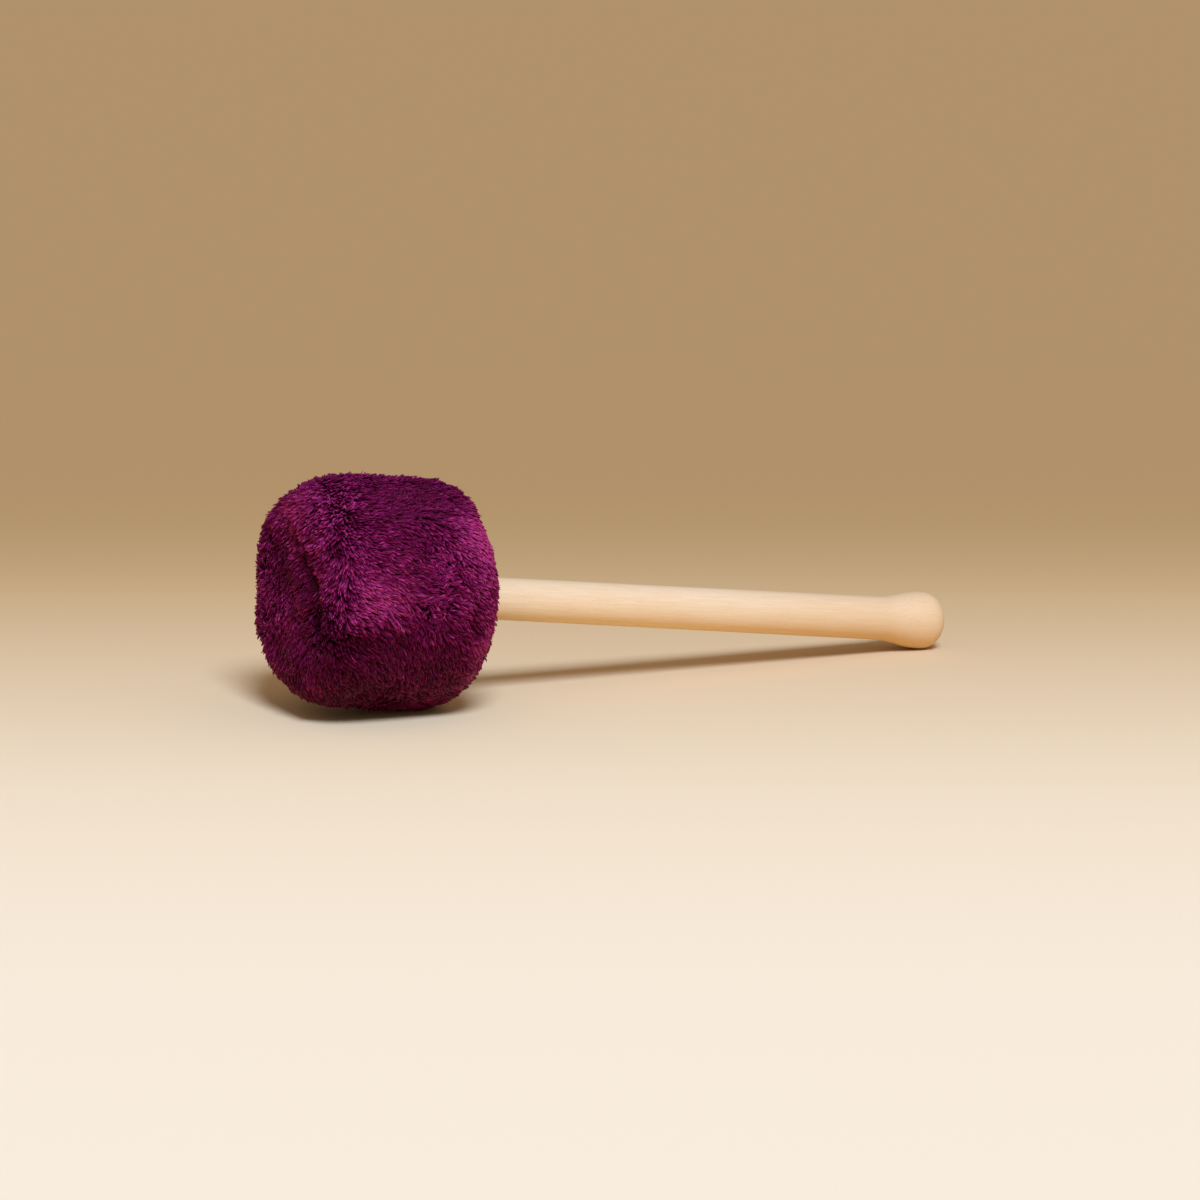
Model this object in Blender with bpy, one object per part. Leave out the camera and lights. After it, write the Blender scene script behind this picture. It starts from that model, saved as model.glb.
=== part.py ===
"""Gong mallet: a soft plush-covered head on a turned beech handle, lying at rest on a flat surface.

All sizes are in metres. Every piece is turned or wound round one axis, the mallet's own, which is local X: it
runs from the striking face (negative) to the knob (positive), and its zero is the middle of the head. The whole
mallet hangs on one empty that tilts this axis until both the head and the knob lie on the plane Z = 0.
"""

import math

import bmesh
import bpy
from mathutils import Matrix, Vector
from mathutils.geometry import intersect_point_line

# Clearances
FIT = 0.0003  # between pieces that touch or slide together
EDGE = 0.0008  # chamfer on turned and stamped edges
SEAT_CUT = 0.0005  # how deep the resting head is pressed flat

# Head, outside
HEAD_RADIUS = 0.0684
HEAD_FRONT_LENGTH = 0.0578  # from the middle of the head to the striking face
HEAD_REAR_LENGTH = 0.0574  # from the middle of the head to the neck
FRONT_SQUARENESS = 4.65  # exponent of the front half's rounded outline
REAR_SQUARENESS = 4.26
REAR_SWELL = 0.27  # growth of the radius towards the rear, per metre
LUMP_HEIGHT = 0.0006  # the padding's general unevenness
# Its waves: round the axis, their start, along the axis (radians per metre), their start, share of the height
LUMP_WAVES = (
    (3, 0.7, 26, 0.4, 1.0),
    (5, -1.1, 41, -0.5, 0.6),
)
# Where the padding is fuller or slacker: place on the outline, degrees round the axis, height and reach
BULGES = (
    (0.49, 130, 0.0023, 0.026),
    (0.93, 172, 0.0020, 0.026),
    (1.31, -172, 0.0023, 0.026),
    (1.48, -150, -0.0019, 0.026),
    (0.40, 78, -0.0013, 0.026),
    (0.70, 4, -0.0024, 0.026),
    (1.51, -52, 0.0006, 0.026),
)
SEAT_REACH = 0.0060  # how high above the table the unevenness is back at its full height
NECK_REACH = 0.0200  # and how far out from the neck

# Cover
COVER_THICKNESS = 0.0070  # backing cloth and pile
FRONT_SEAM_RADIUS = 0.0335
REAR_SEAM_RADIUS = 0.0480
SEAM_DRAW = 0.0010  # how far a seam is drawn in
SEAM_DRAW_WIDTH = 0.0045
SIDE_SEAM_ANGLE = math.radians(90)  # round the axis, from straight down towards the back
THREAD_RADIUS = 0.00045
DRAWCORD_RADIUS = 0.0008
DRAWCORD_TURNS = 1.25
DRAWCORD_GAP = 0.0005  # between its turns

# Handle
SHAFT_RADIUS = 0.0125
SHAFT_END_RADIUS = 0.0136  # where the flare starts
KNOB_RADIUS = 0.0181
HANDLE_REACH = 0.4046  # from the middle of the head to the knob's end
FLARE_LENGTH = 0.0330
KNOB_DOME_LENGTH = 0.0130
DOME_FULLNESS = 0.6  # 1 is a half ellipse, less is fuller
TENON_RADIUS = 0.0100
TENON_SHORTFALL = 0.0010  # the washer bears on the hub, not on the tenon

# Core
HUB_RADIUS = 0.0240
LOCK_PIN_RADIUS = 0.0025
LOCK_PIN_PLACE = 0.0150  # from the hub's rear face to the pin's axis
SCREW_CORE_RADIUS = 0.0017
SCREW_THREAD_DEPTH = 0.0008
SCREW_PITCH = 0.0036
SCREW_LENGTH = 0.0380  # under the head
SCREW_POINT_LENGTH = 0.0050
SCREW_POINT_SHARE = 0.35  # of the screw's radius, left at its tip
SCREW_HEAD_RADIUS = 0.0052
SCREW_HEAD_HEIGHT = 0.0034
SCREW_DOME_SHARE = 0.4  # of the head's height, the part that is rounded
SCREW_SINK = 0.0015  # the screw head lies this far below the hub's face
RECESS_WIDTH = 0.0012
RECESS_DEPTH = 0.0018
RECESS_SPAN = 0.0058
WASHER_LAP = 0.0035  # how far the washer bears on the hub round the tenon's bore
WASHER_THICKNESS = 0.0016

# Padding
RUBBER_THICKNESS = 0.0100
FELT_THICKNESS = 0.0034
FELT_GAP = 0.0008  # between the turns of the winding
DISC_THICKNESS = 0.0046
DISC_COUNT = 3

# Fineness of the meshes
RING_SIDES = 52
CORE_SIDES = 36
THREAD_SIDES = 5
CORD_SIDES = 8
PIN_SIDES = 16
SCREW_SIDES = 12
SCREW_ROWS_PER_PITCH = 4
OUTLINE_STEP = 0.018  # along the head's outlines where they run straight
OUTLINE_TURN = math.radians(13)  # and where they bend
FELT_STEPS_PER_TURN = 36
CORD_STEPS_PER_TURN = 24
SMOOTH_ANGLE = math.radians(35)  # flatter edges than this are shown round

FULL_TURN = 2 * math.pi
T_STEP = 1e-4  # a short way along an outline, to find its direction
STEEPEST_TILT = math.radians(40)


# Outlines of the head

def head_point(t, inset=0.0):
    """Point (x, radius) on the head's outline, t running 0 at the front pole, 1 at the middle, 2 at the rear pole."""
    front = t <= 1
    angle = (t if front else 2 - t) * math.pi / 2
    squareness = FRONT_SQUARENESS if front else REAR_SQUARENESS
    length = (HEAD_FRONT_LENGTH if front else HEAD_REAR_LENGTH) - inset
    x = length * max(math.cos(angle), 0) ** (2 / squareness) * (-1 if front else 1)
    radius = (HEAD_RADIUS - inset) * max(math.sin(angle), 0) ** (2 / squareness)
    return x, radius * (1 + REAR_SWELL * x)


def solve(test, low, high):
    """The value between low and high where test changes from true to false."""
    for _ in range(60):
        middle = (low + high) / 2
        low, high = (middle, high) if test(middle) else (low, middle)
    return (low + high) / 2


def at_radius(radius, front, inset=0.0):
    """The t of the outline where it has this radius, on the front or the rear face."""
    if front:
        return solve(lambda t: head_point(t, inset)[1] < radius, 0, 1)
    return solve(lambda t: head_point(t, inset)[1] > radius, 1, 2)


def at_x(x, inset=0.0):
    """The t of the outline at this place along the axis."""
    return solve(lambda t: head_point(t, inset)[0] < x, 0, 2)


def stations(start, end, inset=0.0):
    """Values of t from start to end, a step apart along the outline and closer where it bends."""
    fine = 400
    ts = [start + (end - start) * i / fine for i in range(fine + 1)]
    points = [Vector(head_point(t, inset)) for t in ts]
    paces = [b - a for a, b in zip(points, points[1:])]
    run = [0.0]
    for i, pace in enumerate(paces):
        bend = pace.angle(paces[i - 1], 0) if i else 0
        run.append(run[-1] + pace.length / OUTLINE_STEP + bend / OUTLINE_TURN)
    count = max(2, round(run[-1]))
    found, i = [], 0
    for k in range(count + 1):
        while i < fine and run[i] < run[-1] * k / count - 1e-12:
            i += 1
        found.append(ts[i])
    found[0], found[-1] = start, end
    return found


def cover_outline(t):
    """Point of the cover's outer surface, drawn in at the two seams."""
    here = Vector(head_point(t))
    draw = 0.0
    for seam in (FRONT_SEAM, REAR_SEAM):
        away = (here - Vector(head_point(seam))).length
        draw += SEAM_DRAW * math.exp(-((away / SEAM_DRAW_WIDTH) ** 2))
    return head_point(t, draw)


def beside(t, distance):
    """The t of the point that lies this distance further along the outline."""
    pace = (Vector(head_point(t + T_STEP)) - Vector(head_point(t - T_STEP))).length / (2 * T_STEP)
    return t + distance / pace


# Sizes that follow from the ones above

FRONT_SEAM = at_radius(FRONT_SEAM_RADIUS, True)
REAR_SEAM = at_radius(REAR_SEAM_RADIUS, False)
PADDING_INSET = COVER_THICKNESS + FIT
STACK = DISC_COUNT * (DISC_THICKNESS + FIT)
HUB_FRONT = -(HEAD_FRONT_LENGTH - PADDING_INSET) + STACK
HUB_REAR = HEAD_REAR_LENGTH - PADDING_INSET - STACK
SHOULDER = HUB_REAR + FIT
BORE_RADIUS = TENON_RADIUS + FIT
WASHER_RADIUS = BORE_RADIUS + WASHER_LAP
COUNTERBORE_RADIUS = WASHER_RADIUS + 2 * FIT
COUNTERBORE_FLOOR = HUB_FRONT + SCREW_SINK + SCREW_HEAD_HEIGHT + WASHER_THICKNESS + 2 * FIT
TENON_END = COUNTERBORE_FLOOR + TENON_SHORTFALL
WASHER_FRONT = COUNTERBORE_FLOOR - FIT - WASHER_THICKNESS
SCREW_SEAT = WASHER_FRONT - FIT
SCREW_CREST_RADIUS = SCREW_CORE_RADIUS + SCREW_THREAD_DEPTH
PILOT_RADIUS = SCREW_CREST_RADIUS + FIT
SCREW_TIP = SCREW_SEAT + SCREW_LENGTH
LOCK_PIN_X = HUB_REAR - LOCK_PIN_PLACE
RUBBER_INNER = HUB_RADIUS + FIT
RUBBER_OUTER = RUBBER_INNER + RUBBER_THICKNESS
NECK_RADIUS = SHAFT_RADIUS + FIT
NECK_OUTER = at_radius(NECK_RADIUS, False)
NECK_INNER = at_radius(NECK_RADIUS, False, COVER_THICKNESS)
FELT_PITCH = FELT_THICKNESS + FELT_GAP
DRAWCORD_PITCH = 2 * DRAWCORD_RADIUS + DRAWCORD_GAP
# A seam thread lies in a V groove on the cover's inner side, one clearance from its walls.
SEAM_GROOVE = THREAD_RADIUS + math.sqrt(2) * (THREAD_RADIUS + FIT)
THREAD_INSET = COVER_THICKNESS - THREAD_RADIUS


# Building

def clear_scene():
    """Removes every object, so that the scene holds the mallet alone."""
    for thing in list(bpy.data.objects):
        bpy.data.objects.remove(thing, do_unlink=True)


def make_material(name, colour, roughness, metallic=0.0):
    """A Principled material with one plain finish."""
    material = bpy.data.materials.new(name)
    material.use_nodes = True
    shader = material.node_tree.nodes["Principled BSDF"]
    shader.inputs["Base Color"].default_value = (*colour, 1)
    shader.inputs["Roughness"].default_value = roughness
    shader.inputs["Metallic"].default_value = metallic
    material.diffuse_color = (*colour, 1)
    return material


def place(name, bm, material, parent):
    """Makes the mesh an object of this name under parent, with its faces out and its round faces smooth."""
    bmesh.ops.remove_doubles(bm, verts=bm.verts, dist=1e-7)
    bmesh.ops.recalc_face_normals(bm, faces=bm.faces)
    mesh = bpy.data.meshes.new(name)
    bm.to_mesh(mesh)
    bm.free()
    mesh.materials.append(material)
    mesh.shade_smooth()
    mesh.set_sharp_from_angle(angle=SMOOTH_ANGLE)
    thing = bpy.data.objects.new(name, mesh)
    bpy.context.scene.collection.objects.link(thing)
    thing.parent = parent
    return thing


def turned(profile, sides, start=0.0, angle=FULL_TURN, closed=True):
    """A mesh turned from (x, radius) points round X. The profile is a loop, or runs from axis to axis.

    The turning starts at the angle start, counted from straight down towards the back. In a part turn, the first
    half of the loop faces the second, and the two ends are closed by the strip of faces between them.
    """
    bm = bmesh.new()
    toward = Vector((0, math.sin(start), -math.cos(start)))
    corners = [bm.verts.new(Vector((x, 0, 0)) + radius * toward) for x, radius in profile]
    for a, b in zip(corners, corners[1:]):
        bm.edges.new((a, b))
    if closed:
        bm.edges.new((corners[-1], corners[0]))
    whole = angle >= FULL_TURN
    if not whole:
        for i in range(len(corners) // 2 - 1):
            bm.faces.new((corners[i], corners[i + 1], corners[-2 - i], corners[-1 - i]))
    bmesh.ops.spin(
        bm, geom=bm.verts[:] + bm.edges[:] + bm.faces[:], axis=(1, 0, 0), cent=(0, 0, 0),
        angle=angle, steps=sides, use_merge=whole,
    )
    return bm


def swept(path, radius, sides):
    """A tube along a list of points, with flat ends unless its last point is its first."""
    bm = bmesh.new()
    whole = (path[-1] - path[0]).length < FIT
    points = path[:-1] if whole else path
    count = len(points)
    rings, along, side = [], None, None
    for i, point in enumerate(points):
        before = points[i - 1] if i or whole else point
        after = points[(i + 1) % count] if i + 1 < count or whole else point
        tangent = (after - before).normalized()
        if along is None:
            side = tangent.orthogonal().normalized()
        else:
            side.rotate(along.rotation_difference(tangent))
        along = tangent
        up = along.cross(side)
        turns = [FULL_TURN * k / sides for k in range(sides)]
        rings.append([bm.verts.new(point + radius * (math.cos(a) * side + math.sin(a) * up)) for a in turns])
    for a, b in zip(rings, rings[1:] + rings[:1] if whole else rings[1:]):
        for k in range(sides):
            m = (k + 1) % sides
            bm.faces.new((a[k], a[m], b[m], b[k]))
    if not whole:
        bm.faces.new(rings[0])
        bm.faces.new(rings[-1])
    return bm


def around(angle, x, radius):
    """A point at this angle round the axis, counted from straight down towards the back."""
    return Vector((x, radius * math.sin(angle), -radius * math.cos(angle)))


def cut(thing, cutter, name):
    """Cuts the helper solid out of thing."""
    cutter.hide_render = True
    cutter.display_type = "WIRE"
    modifier = thing.modifiers.new(name, "BOOLEAN")
    modifier.operation = "DIFFERENCE"
    modifier.solver = "EXACT"
    modifier.object = cutter


def tilt_at_rest():
    """The axis's tilt, and its height at the middle of the head, for a mallet that lies at rest."""
    head = [head_point(i / 200) for i in range(401)]
    flat_share = math.cos(math.pi / CORE_SIDES)
    knob = [(x, r * flat_share) for x, r in handle_outline() if x > HANDLE_REACH / 2]

    def drop(points, tilt):
        return max(x * math.sin(tilt) + r * math.cos(tilt) for x, r in points)

    tilt = solve(lambda t: drop(head, t) - SEAT_CUT > drop(knob, t), 0, STEEPEST_TILT)
    return tilt, drop(knob, tilt)


def centre_over_origin(axis):
    """Shifts the mallet along X until its two ends lie equally far from the origin."""
    bpy.context.view_layer.update()
    ends = [
        (thing.matrix_world @ corner.co).x
        for thing in axis.children if not thing.hide_render
        for corner in thing.data.vertices
    ]
    axis.location.x -= (min(ends) + max(ends)) / 2


# Handle

def handle_outline():
    """The outside of the handle behind its shoulder, as (x, radius) points up to the knob's pole."""
    flare_start = HANDLE_REACH - KNOB_DOME_LENGTH - FLARE_LENGTH
    points = []
    shaft_steps = 6
    for i in range(shaft_steps):
        part = i / shaft_steps
        x = SHOULDER + EDGE + (flare_start - SHOULDER - EDGE) * part
        points.append((x, SHAFT_RADIUS + (SHAFT_END_RADIUS - SHAFT_RADIUS) * part))
    flare_steps = 9
    for i in range(flare_steps + 1):
        part = i / flare_steps
        swell = (1 - math.cos(math.pi * part)) / 2
        radius = SHAFT_END_RADIUS + (KNOB_RADIUS - SHAFT_END_RADIUS) * swell
        points.append((flare_start + FLARE_LENGTH * part, radius))
    dome_steps = 9
    for i in range(1, dome_steps + 1):
        turn = math.pi / 2 * i / dome_steps
        x = HANDLE_REACH - KNOB_DOME_LENGTH * (1 - math.sin(turn))
        points.append((x, KNOB_RADIUS * max(math.cos(turn), 0) ** DOME_FULLNESS))
    return points


def make_handle(beech, axis):
    """The turned handle: tenon with its pilot hole, shoulder, shaft, flare and knob."""
    pilot_end = SCREW_TIP + 2 * EDGE
    drill_point = PILOT_RADIUS / 2
    profile = [
        (pilot_end + drill_point, 0),
        (pilot_end, PILOT_RADIUS),
        (TENON_END, PILOT_RADIUS),
        (TENON_END, TENON_RADIUS - EDGE),
        (TENON_END + EDGE, TENON_RADIUS),
        (SHOULDER, TENON_RADIUS),
        (SHOULDER, SHAFT_RADIUS - EDGE),
    ] + handle_outline()
    half_side = math.pi / CORE_SIDES
    return place("handle", turned(profile, CORE_SIDES, half_side, closed=False), beech, axis)


# Core

def make_hub(beech, axis):
    """The turned core with the tenon's bore and the counterbore for the screw."""
    profile = [
        (HUB_FRONT, COUNTERBORE_RADIUS),
        (HUB_FRONT, HUB_RADIUS - EDGE),
        (HUB_FRONT + EDGE, HUB_RADIUS),
        (HUB_REAR - EDGE, HUB_RADIUS),
        (HUB_REAR, HUB_RADIUS - EDGE),
        (HUB_REAR, BORE_RADIUS),
        (COUNTERBORE_FLOOR, BORE_RADIUS),
        (COUNTERBORE_FLOOR, COUNTERBORE_RADIUS),
    ]
    return place("core_hub", turned(profile, CORE_SIDES), beech, axis)


def cross_cylinder(name, radius, half_length, material, axis):
    """A cylinder that crosses the mallet's axis level, at the lock pin's place."""
    bm = bmesh.new()
    bmesh.ops.create_cone(
        bm, cap_ends=True, segments=PIN_SIDES, radius1=radius, radius2=radius, depth=2 * half_length,
    )
    thing = place(name, bm, material, axis)
    thing.location = (LOCK_PIN_X, 0, 0)
    thing.rotation_euler = (math.pi / 2, 0, 0)
    return thing


def make_lock_pin(steel, axis, handle, hub):
    """The pin through hub and tenon, and the hole that both have for it."""
    cross_cylinder("lock_pin", LOCK_PIN_RADIUS, HUB_RADIUS - FIT, steel, axis)
    hole = cross_cylinder("lock_pin_hole", LOCK_PIN_RADIUS + FIT, 2 * HUB_RADIUS, steel, axis)
    cut(handle, hole, "lock_pin_hole")
    cut(hub, hole, "lock_pin_hole")


def make_washer(steel, axis):
    """The washer on the counterbore's floor."""
    inner = SCREW_CREST_RADIUS + FIT
    profile = [
        (WASHER_FRONT, inner),
        (WASHER_FRONT, WASHER_RADIUS - FIT),
        (WASHER_FRONT + FIT, WASHER_RADIUS),
        (WASHER_FRONT + WASHER_THICKNESS, WASHER_RADIUS),
        (WASHER_FRONT + WASHER_THICKNESS, inner),
    ]
    place("hub_washer", turned(profile, CORE_SIDES), steel, axis)


def make_screw(steel, axis):
    """The wood screw: a rounded head with a cross recess, and a helical thread on a tapering core."""
    head_steps = 4
    profile = [(SCREW_SEAT - SCREW_HEAD_HEIGHT, 0)]
    for i in range(1, head_steps + 1):
        turn = math.pi / 2 * i / head_steps
        dome = SCREW_DOME_SHARE * SCREW_HEAD_HEIGHT * (1 - math.cos(turn))
        profile.append((SCREW_SEAT - SCREW_HEAD_HEIGHT + dome, SCREW_HEAD_RADIUS * math.sin(turn)))
    profile.append((SCREW_SEAT, SCREW_HEAD_RADIUS))
    rows = round(SCREW_LENGTH / SCREW_PITCH * SCREW_ROWS_PER_PITCH)
    for i in range(rows + 1):
        profile.append((SCREW_SEAT + SCREW_LENGTH * i / rows, SCREW_CORE_RADIUS))
    profile.append((SCREW_TIP + EDGE / 2, 0))
    bm = turned(profile, SCREW_SIDES, closed=False)
    plain = SCREW_SEAT + WASHER_THICKNESS + 2 * FIT
    for corner in bm.verts:
        x, radius = corner.co.x, math.hypot(corner.co.y, corner.co.z)
        if x < plain or x > SCREW_TIP + FIT / 2:
            continue
        turn = math.atan2(corner.co.z, corner.co.y) / FULL_TURN
        phase = (x / SCREW_PITCH - turn) % 1
        crest = 1 - abs(2 * phase - 1)
        taper = min(1, (SCREW_TIP - x) / SCREW_POINT_LENGTH + SCREW_POINT_SHARE)
        wanted = (SCREW_CORE_RADIUS + SCREW_THREAD_DEPTH * crest) * taper
        corner.co.y *= wanted / radius
        corner.co.z *= wanted / radius
    screw = place("hub_screw", bm, steel, axis)
    for i, (wide, deep) in enumerate(((RECESS_WIDTH, RECESS_SPAN), (RECESS_SPAN, RECESS_WIDTH))):
        tool = bmesh.new()
        bmesh.ops.create_cube(tool, size=1, matrix=Matrix.Diagonal((2 * RECESS_DEPTH, wide, deep, 1)))
        slot = place(f"recess_{i}", tool, steel, axis)
        slot.location = (SCREW_SEAT - SCREW_HEAD_HEIGHT, 0, 0)
        cut(screw, slot, slot.name)


# Padding

def make_rubber(rubber, axis):
    """The rubber sleeve round the hub."""
    profile = [
        (HUB_FRONT, RUBBER_INNER),
        (HUB_FRONT, RUBBER_OUTER - EDGE),
        (HUB_FRONT + EDGE, RUBBER_OUTER),
        (HUB_REAR - EDGE, RUBBER_OUTER),
        (HUB_REAR, RUBBER_OUTER - EDGE),
        (HUB_REAR, RUBBER_INNER),
    ]
    place("rubber_sleeve", turned(profile, RING_SIDES), rubber, axis)


def least_gap(points, path, apart):
    """The least distance from each point to the chords of the path that start this many steps after it or later."""
    gaps = []
    for i, point in enumerate(points):
        for a, b in zip(path[i + apart:], path[i + apart + 1:]):
            share = intersect_point_line(point, a, b)[1]
            gaps.append((point - a.lerp(b, min(max(share, 0), 1))).length)
    return min(gaps)


def make_felt_winding(felt, axis):
    """The felt strip, wound from the rubber outwards and cut narrower as the head's ends round off."""
    inner = RUBBER_OUTER + FIT
    outer = HEAD_RADIUS - PADDING_INSET - FIT
    turns = max((outer - FELT_THICKNESS - inner) / FELT_PITCH, 1)
    steps = round(turns * FELT_STEPS_PER_TURN)

    def half_widths(radius):
        front = head_point(at_radius(radius, True, PADDING_INSET), PADDING_INSET)[0]
        rear = head_point(at_radius(radius, False, PADDING_INSET), PADDING_INSET)[0]
        return max(front, HUB_FRONT), min(rear, HUB_REAR)

    bm = bmesh.new()
    sections = []
    for i in range(steps + 1):
        angle = FULL_TURN * turns * i / steps
        low = inner + FELT_PITCH * turns * i / steps
        high = low + FELT_THICKNESS
        front, rear = half_widths(low)
        front_high, rear_high = half_widths(high + FIT)
        corners = ((front, low), (rear, low), (rear_high, high), (front_high, high))
        sections.append([bm.verts.new(around(angle, x, r)) for x, r in corners])
    upper, lower = [
        [section[corner].co * Vector((0, 1, 1)) for section in sections] for corner in (2, 1)
    ]
    gap = least_gap(upper, lower, FELT_STEPS_PER_TURN // 2)
    print(f"felt_winding: {turns:.2f} turns, least gap between turns {1000 * gap:.2f} mm")
    for a, b in zip(sections, sections[1:]):
        for k in range(4):
            m = (k + 1) % 4
            bm.faces.new((a[k], a[m], b[m], b[k]))
    bm.faces.new(sections[0])
    bm.faces.new(sections[-1])
    place("felt_winding", bm, felt, axis)


def make_disc(name, front, rear, bore, felt, axis):
    """A felt disc or ring between two planes, its edge rounded to the inside of the cover."""
    inset = PADDING_INSET
    front_pole, rear_pole = head_point(0, inset)[0], head_point(2, inset)[0]
    start = 0 if front <= front_pole + FIT else at_x(front, inset)
    end = 2 if rear >= rear_pole - FIT else at_x(rear, inset)
    rim = [head_point(t, inset) for t in stations(start, end, inset)]
    if bore:
        rim = [(x, r) for x, r in rim if r > bore + FIT]
        near = rim[-1][0] if end == 2 else rear
        profile = [(front, bore)] + rim + [(near, bore)]
        place(name, turned(profile, RING_SIDES), felt, axis)
        return
    if start > 0:
        rim.insert(0, (front, 0))
    profile = rim + [(rear, 0)]
    place(name, turned(profile, RING_SIDES, closed=False), felt, axis)


def make_discs(felt, axis):
    """The felt discs in front of the hub and the rings round the shaft behind it."""
    pace = DISC_THICKNESS + FIT
    for k in range(DISC_COUNT):
        rear = HUB_FRONT - FIT - k * pace
        make_disc(f"front_felt_disc_{k + 1}", rear - DISC_THICKNESS, rear, 0, felt, axis)
        front = HUB_REAR + FIT + k * pace
        make_disc(f"rear_felt_ring_{k + 1}", front, front + DISC_THICKNESS, NECK_RADIUS, felt, axis)


# Cover

def skin_place(x, radius):
    """Where a point of the cover lies: the outline's t beside it, and its size as a share of the outline's."""
    squareness = FRONT_SQUARENESS if x <= 0 else REAR_SQUARENESS
    along = (abs(x) / (HEAD_FRONT_LENGTH if x <= 0 else HEAD_REAR_LENGTH)) ** squareness
    across = (radius / (1 + REAR_SWELL * x) / HEAD_RADIUS) ** squareness
    t = math.atan2(math.sqrt(across), math.sqrt(along)) / (math.pi / 2)
    return t if x <= 0 else 2 - t, (along + across) ** (1 / squareness)


def lump(corner, angle, x):
    """How far the padding pushes the cover out at this corner."""
    waves = sum(
        share * math.cos(turns * angle + turn) * math.cos(pace * x + start)
        for turns, turn, pace, start, share in LUMP_WAVES
    )
    height = LUMP_HEIGHT * waves * math.cos(angle) ** 2
    for t, turn, bulge, reach in BULGES:
        away = (corner - around(math.radians(turn), *head_point(t))).length
        height += bulge * math.exp(-((away / reach) ** 2))
    return height


def swell(bm, tilt, height):
    """Moves the outer skin of a cover panel by the unevenness of its padding, but for where it lies on the table."""
    for corner in bm.verts:
        x, y, z = corner.co
        radius, angle = math.hypot(y, z), math.atan2(y, -z)
        t, share = skin_place(x, radius)
        if share < 1 - COVER_THICKNESS / 2 / HEAD_RADIUS or radius < NECK_RADIUS + FIT:
            continue
        ahead = Vector(head_point(min(t + T_STEP, 2)))
        behind = Vector(head_point(max(t - T_STEP, 0)))
        tangent = (ahead - behind).normalized()
        lift = (height - x * math.sin(tilt) + z * math.cos(tilt)) / SEAT_REACH
        fade = min(max(lift, 0), 1) * min((radius - NECK_RADIUS) / NECK_REACH, 1)
        growth = lump(corner.co, angle, x) * fade
        corner.co += around(angle, -tangent[1] * growth, tangent[0] * growth)


def skin_points(start, end):
    """The outer and the inner outline of a cover panel, as many points each, with half a groove at each seam."""
    first = beside(start, SEAM_GROOVE) if start > 0 else start
    last = beside(end, -SEAM_GROOVE) if end < NECK_INNER else end
    ts = stations(first, last, COVER_THICKNESS / 2)
    inner = [head_point(t, COVER_THICKNESS) for t in ts]
    if first > start:
        ts.insert(0, start)
        inner.insert(0, head_point(start, COVER_THICKNESS - SEAM_GROOVE))
    if last < end:
        ts.append(end)
        inner.append(head_point(end, COVER_THICKNESS - SEAM_GROOVE))
    return [cover_outline(t) for t in ts], inner


def flatten_seat(bm, tilt, height):
    """Cuts the panel flat where the plane that the mallet lies on meets it."""
    normal = Vector((math.sin(tilt), 0, -math.cos(tilt)))
    found = bmesh.ops.bisect_plane(
        bm, geom=bm.verts[:] + bm.edges[:] + bm.faces[:],
        plane_co=normal * height, plane_no=normal, clear_outer=True,
    )
    edges = [g for g in found["geom_cut"] if isinstance(g, bmesh.types.BMEdge)]
    bmesh.ops.holes_fill(bm, edges=edges)


def make_cover(plush, axis, tilt, height):
    """The three sewn panels: striking face, side band with its closing seam, and rear panel with its neck."""
    gap = FIT / 2
    outer, inner = skin_points(0, beside(FRONT_SEAM, -gap))
    front = turned(outer + inner[::-1], RING_SIDES, closed=False)
    swell(front, tilt, height)
    place("cover_front_panel", front, plush, axis)

    outer, inner = skin_points(beside(FRONT_SEAM, gap), beside(REAR_SEAM, -gap))
    slit = gap / (HEAD_RADIUS - COVER_THICKNESS)
    side = turned(outer + inner[::-1], RING_SIDES, SIDE_SEAM_ANGLE + slit, FULL_TURN - 2 * slit)
    open_side_groove(side)
    swell(side, tilt, height)
    flatten_seat(side, tilt, height)
    place("cover_side_panel", side, plush, axis)

    outer, inner = skin_points(beside(REAR_SEAM, gap), NECK_INNER)
    outer[-1] = head_point(NECK_OUTER)
    room = drawcord_room()
    channel = NECK_RADIUS + 2 * DRAWCORD_RADIUS + FIT
    hem = [(room[1], NECK_RADIUS), (room[1], channel), (room[0], channel), (room[0], NECK_RADIUS)]
    rear = turned(outer + hem + inner[::-1], RING_SIDES)
    swell(rear, tilt, height)
    place("cover_rear_panel", rear, plush, axis)


def drawcord_room():
    """The ends, along the axis, of the draw cord's channel in the middle of the neck."""
    middle = (head_point(NECK_OUTER)[0] + head_point(NECK_INNER, COVER_THICKNESS)[0]) / 2
    half = (DRAWCORD_TURNS * DRAWCORD_PITCH + 2 * DRAWCORD_RADIUS) / 2 + FIT
    return middle - half, middle + half


def open_side_groove(bm):
    """Slants the two ends of the side band, so that its closing seam leaves a groove on the inner side."""
    for corner in bm.verts:
        x, y, z = corner.co
        radius = math.hypot(y, z)
        angle = math.atan2(y, -z)
        off = math.remainder(angle - SIDE_SEAM_ANGLE, FULL_TURN)
        if abs(off) > 0.5 * FULL_TURN / RING_SIDES:
            continue
        t = at_x(x, COVER_THICKNESS / 2)
        if radius > head_point(t, COVER_THICKNESS / 2)[1]:
            continue
        corner.co = around(angle + math.copysign(SEAM_GROOVE / radius, off), x, radius)


# Threads and cord

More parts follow.
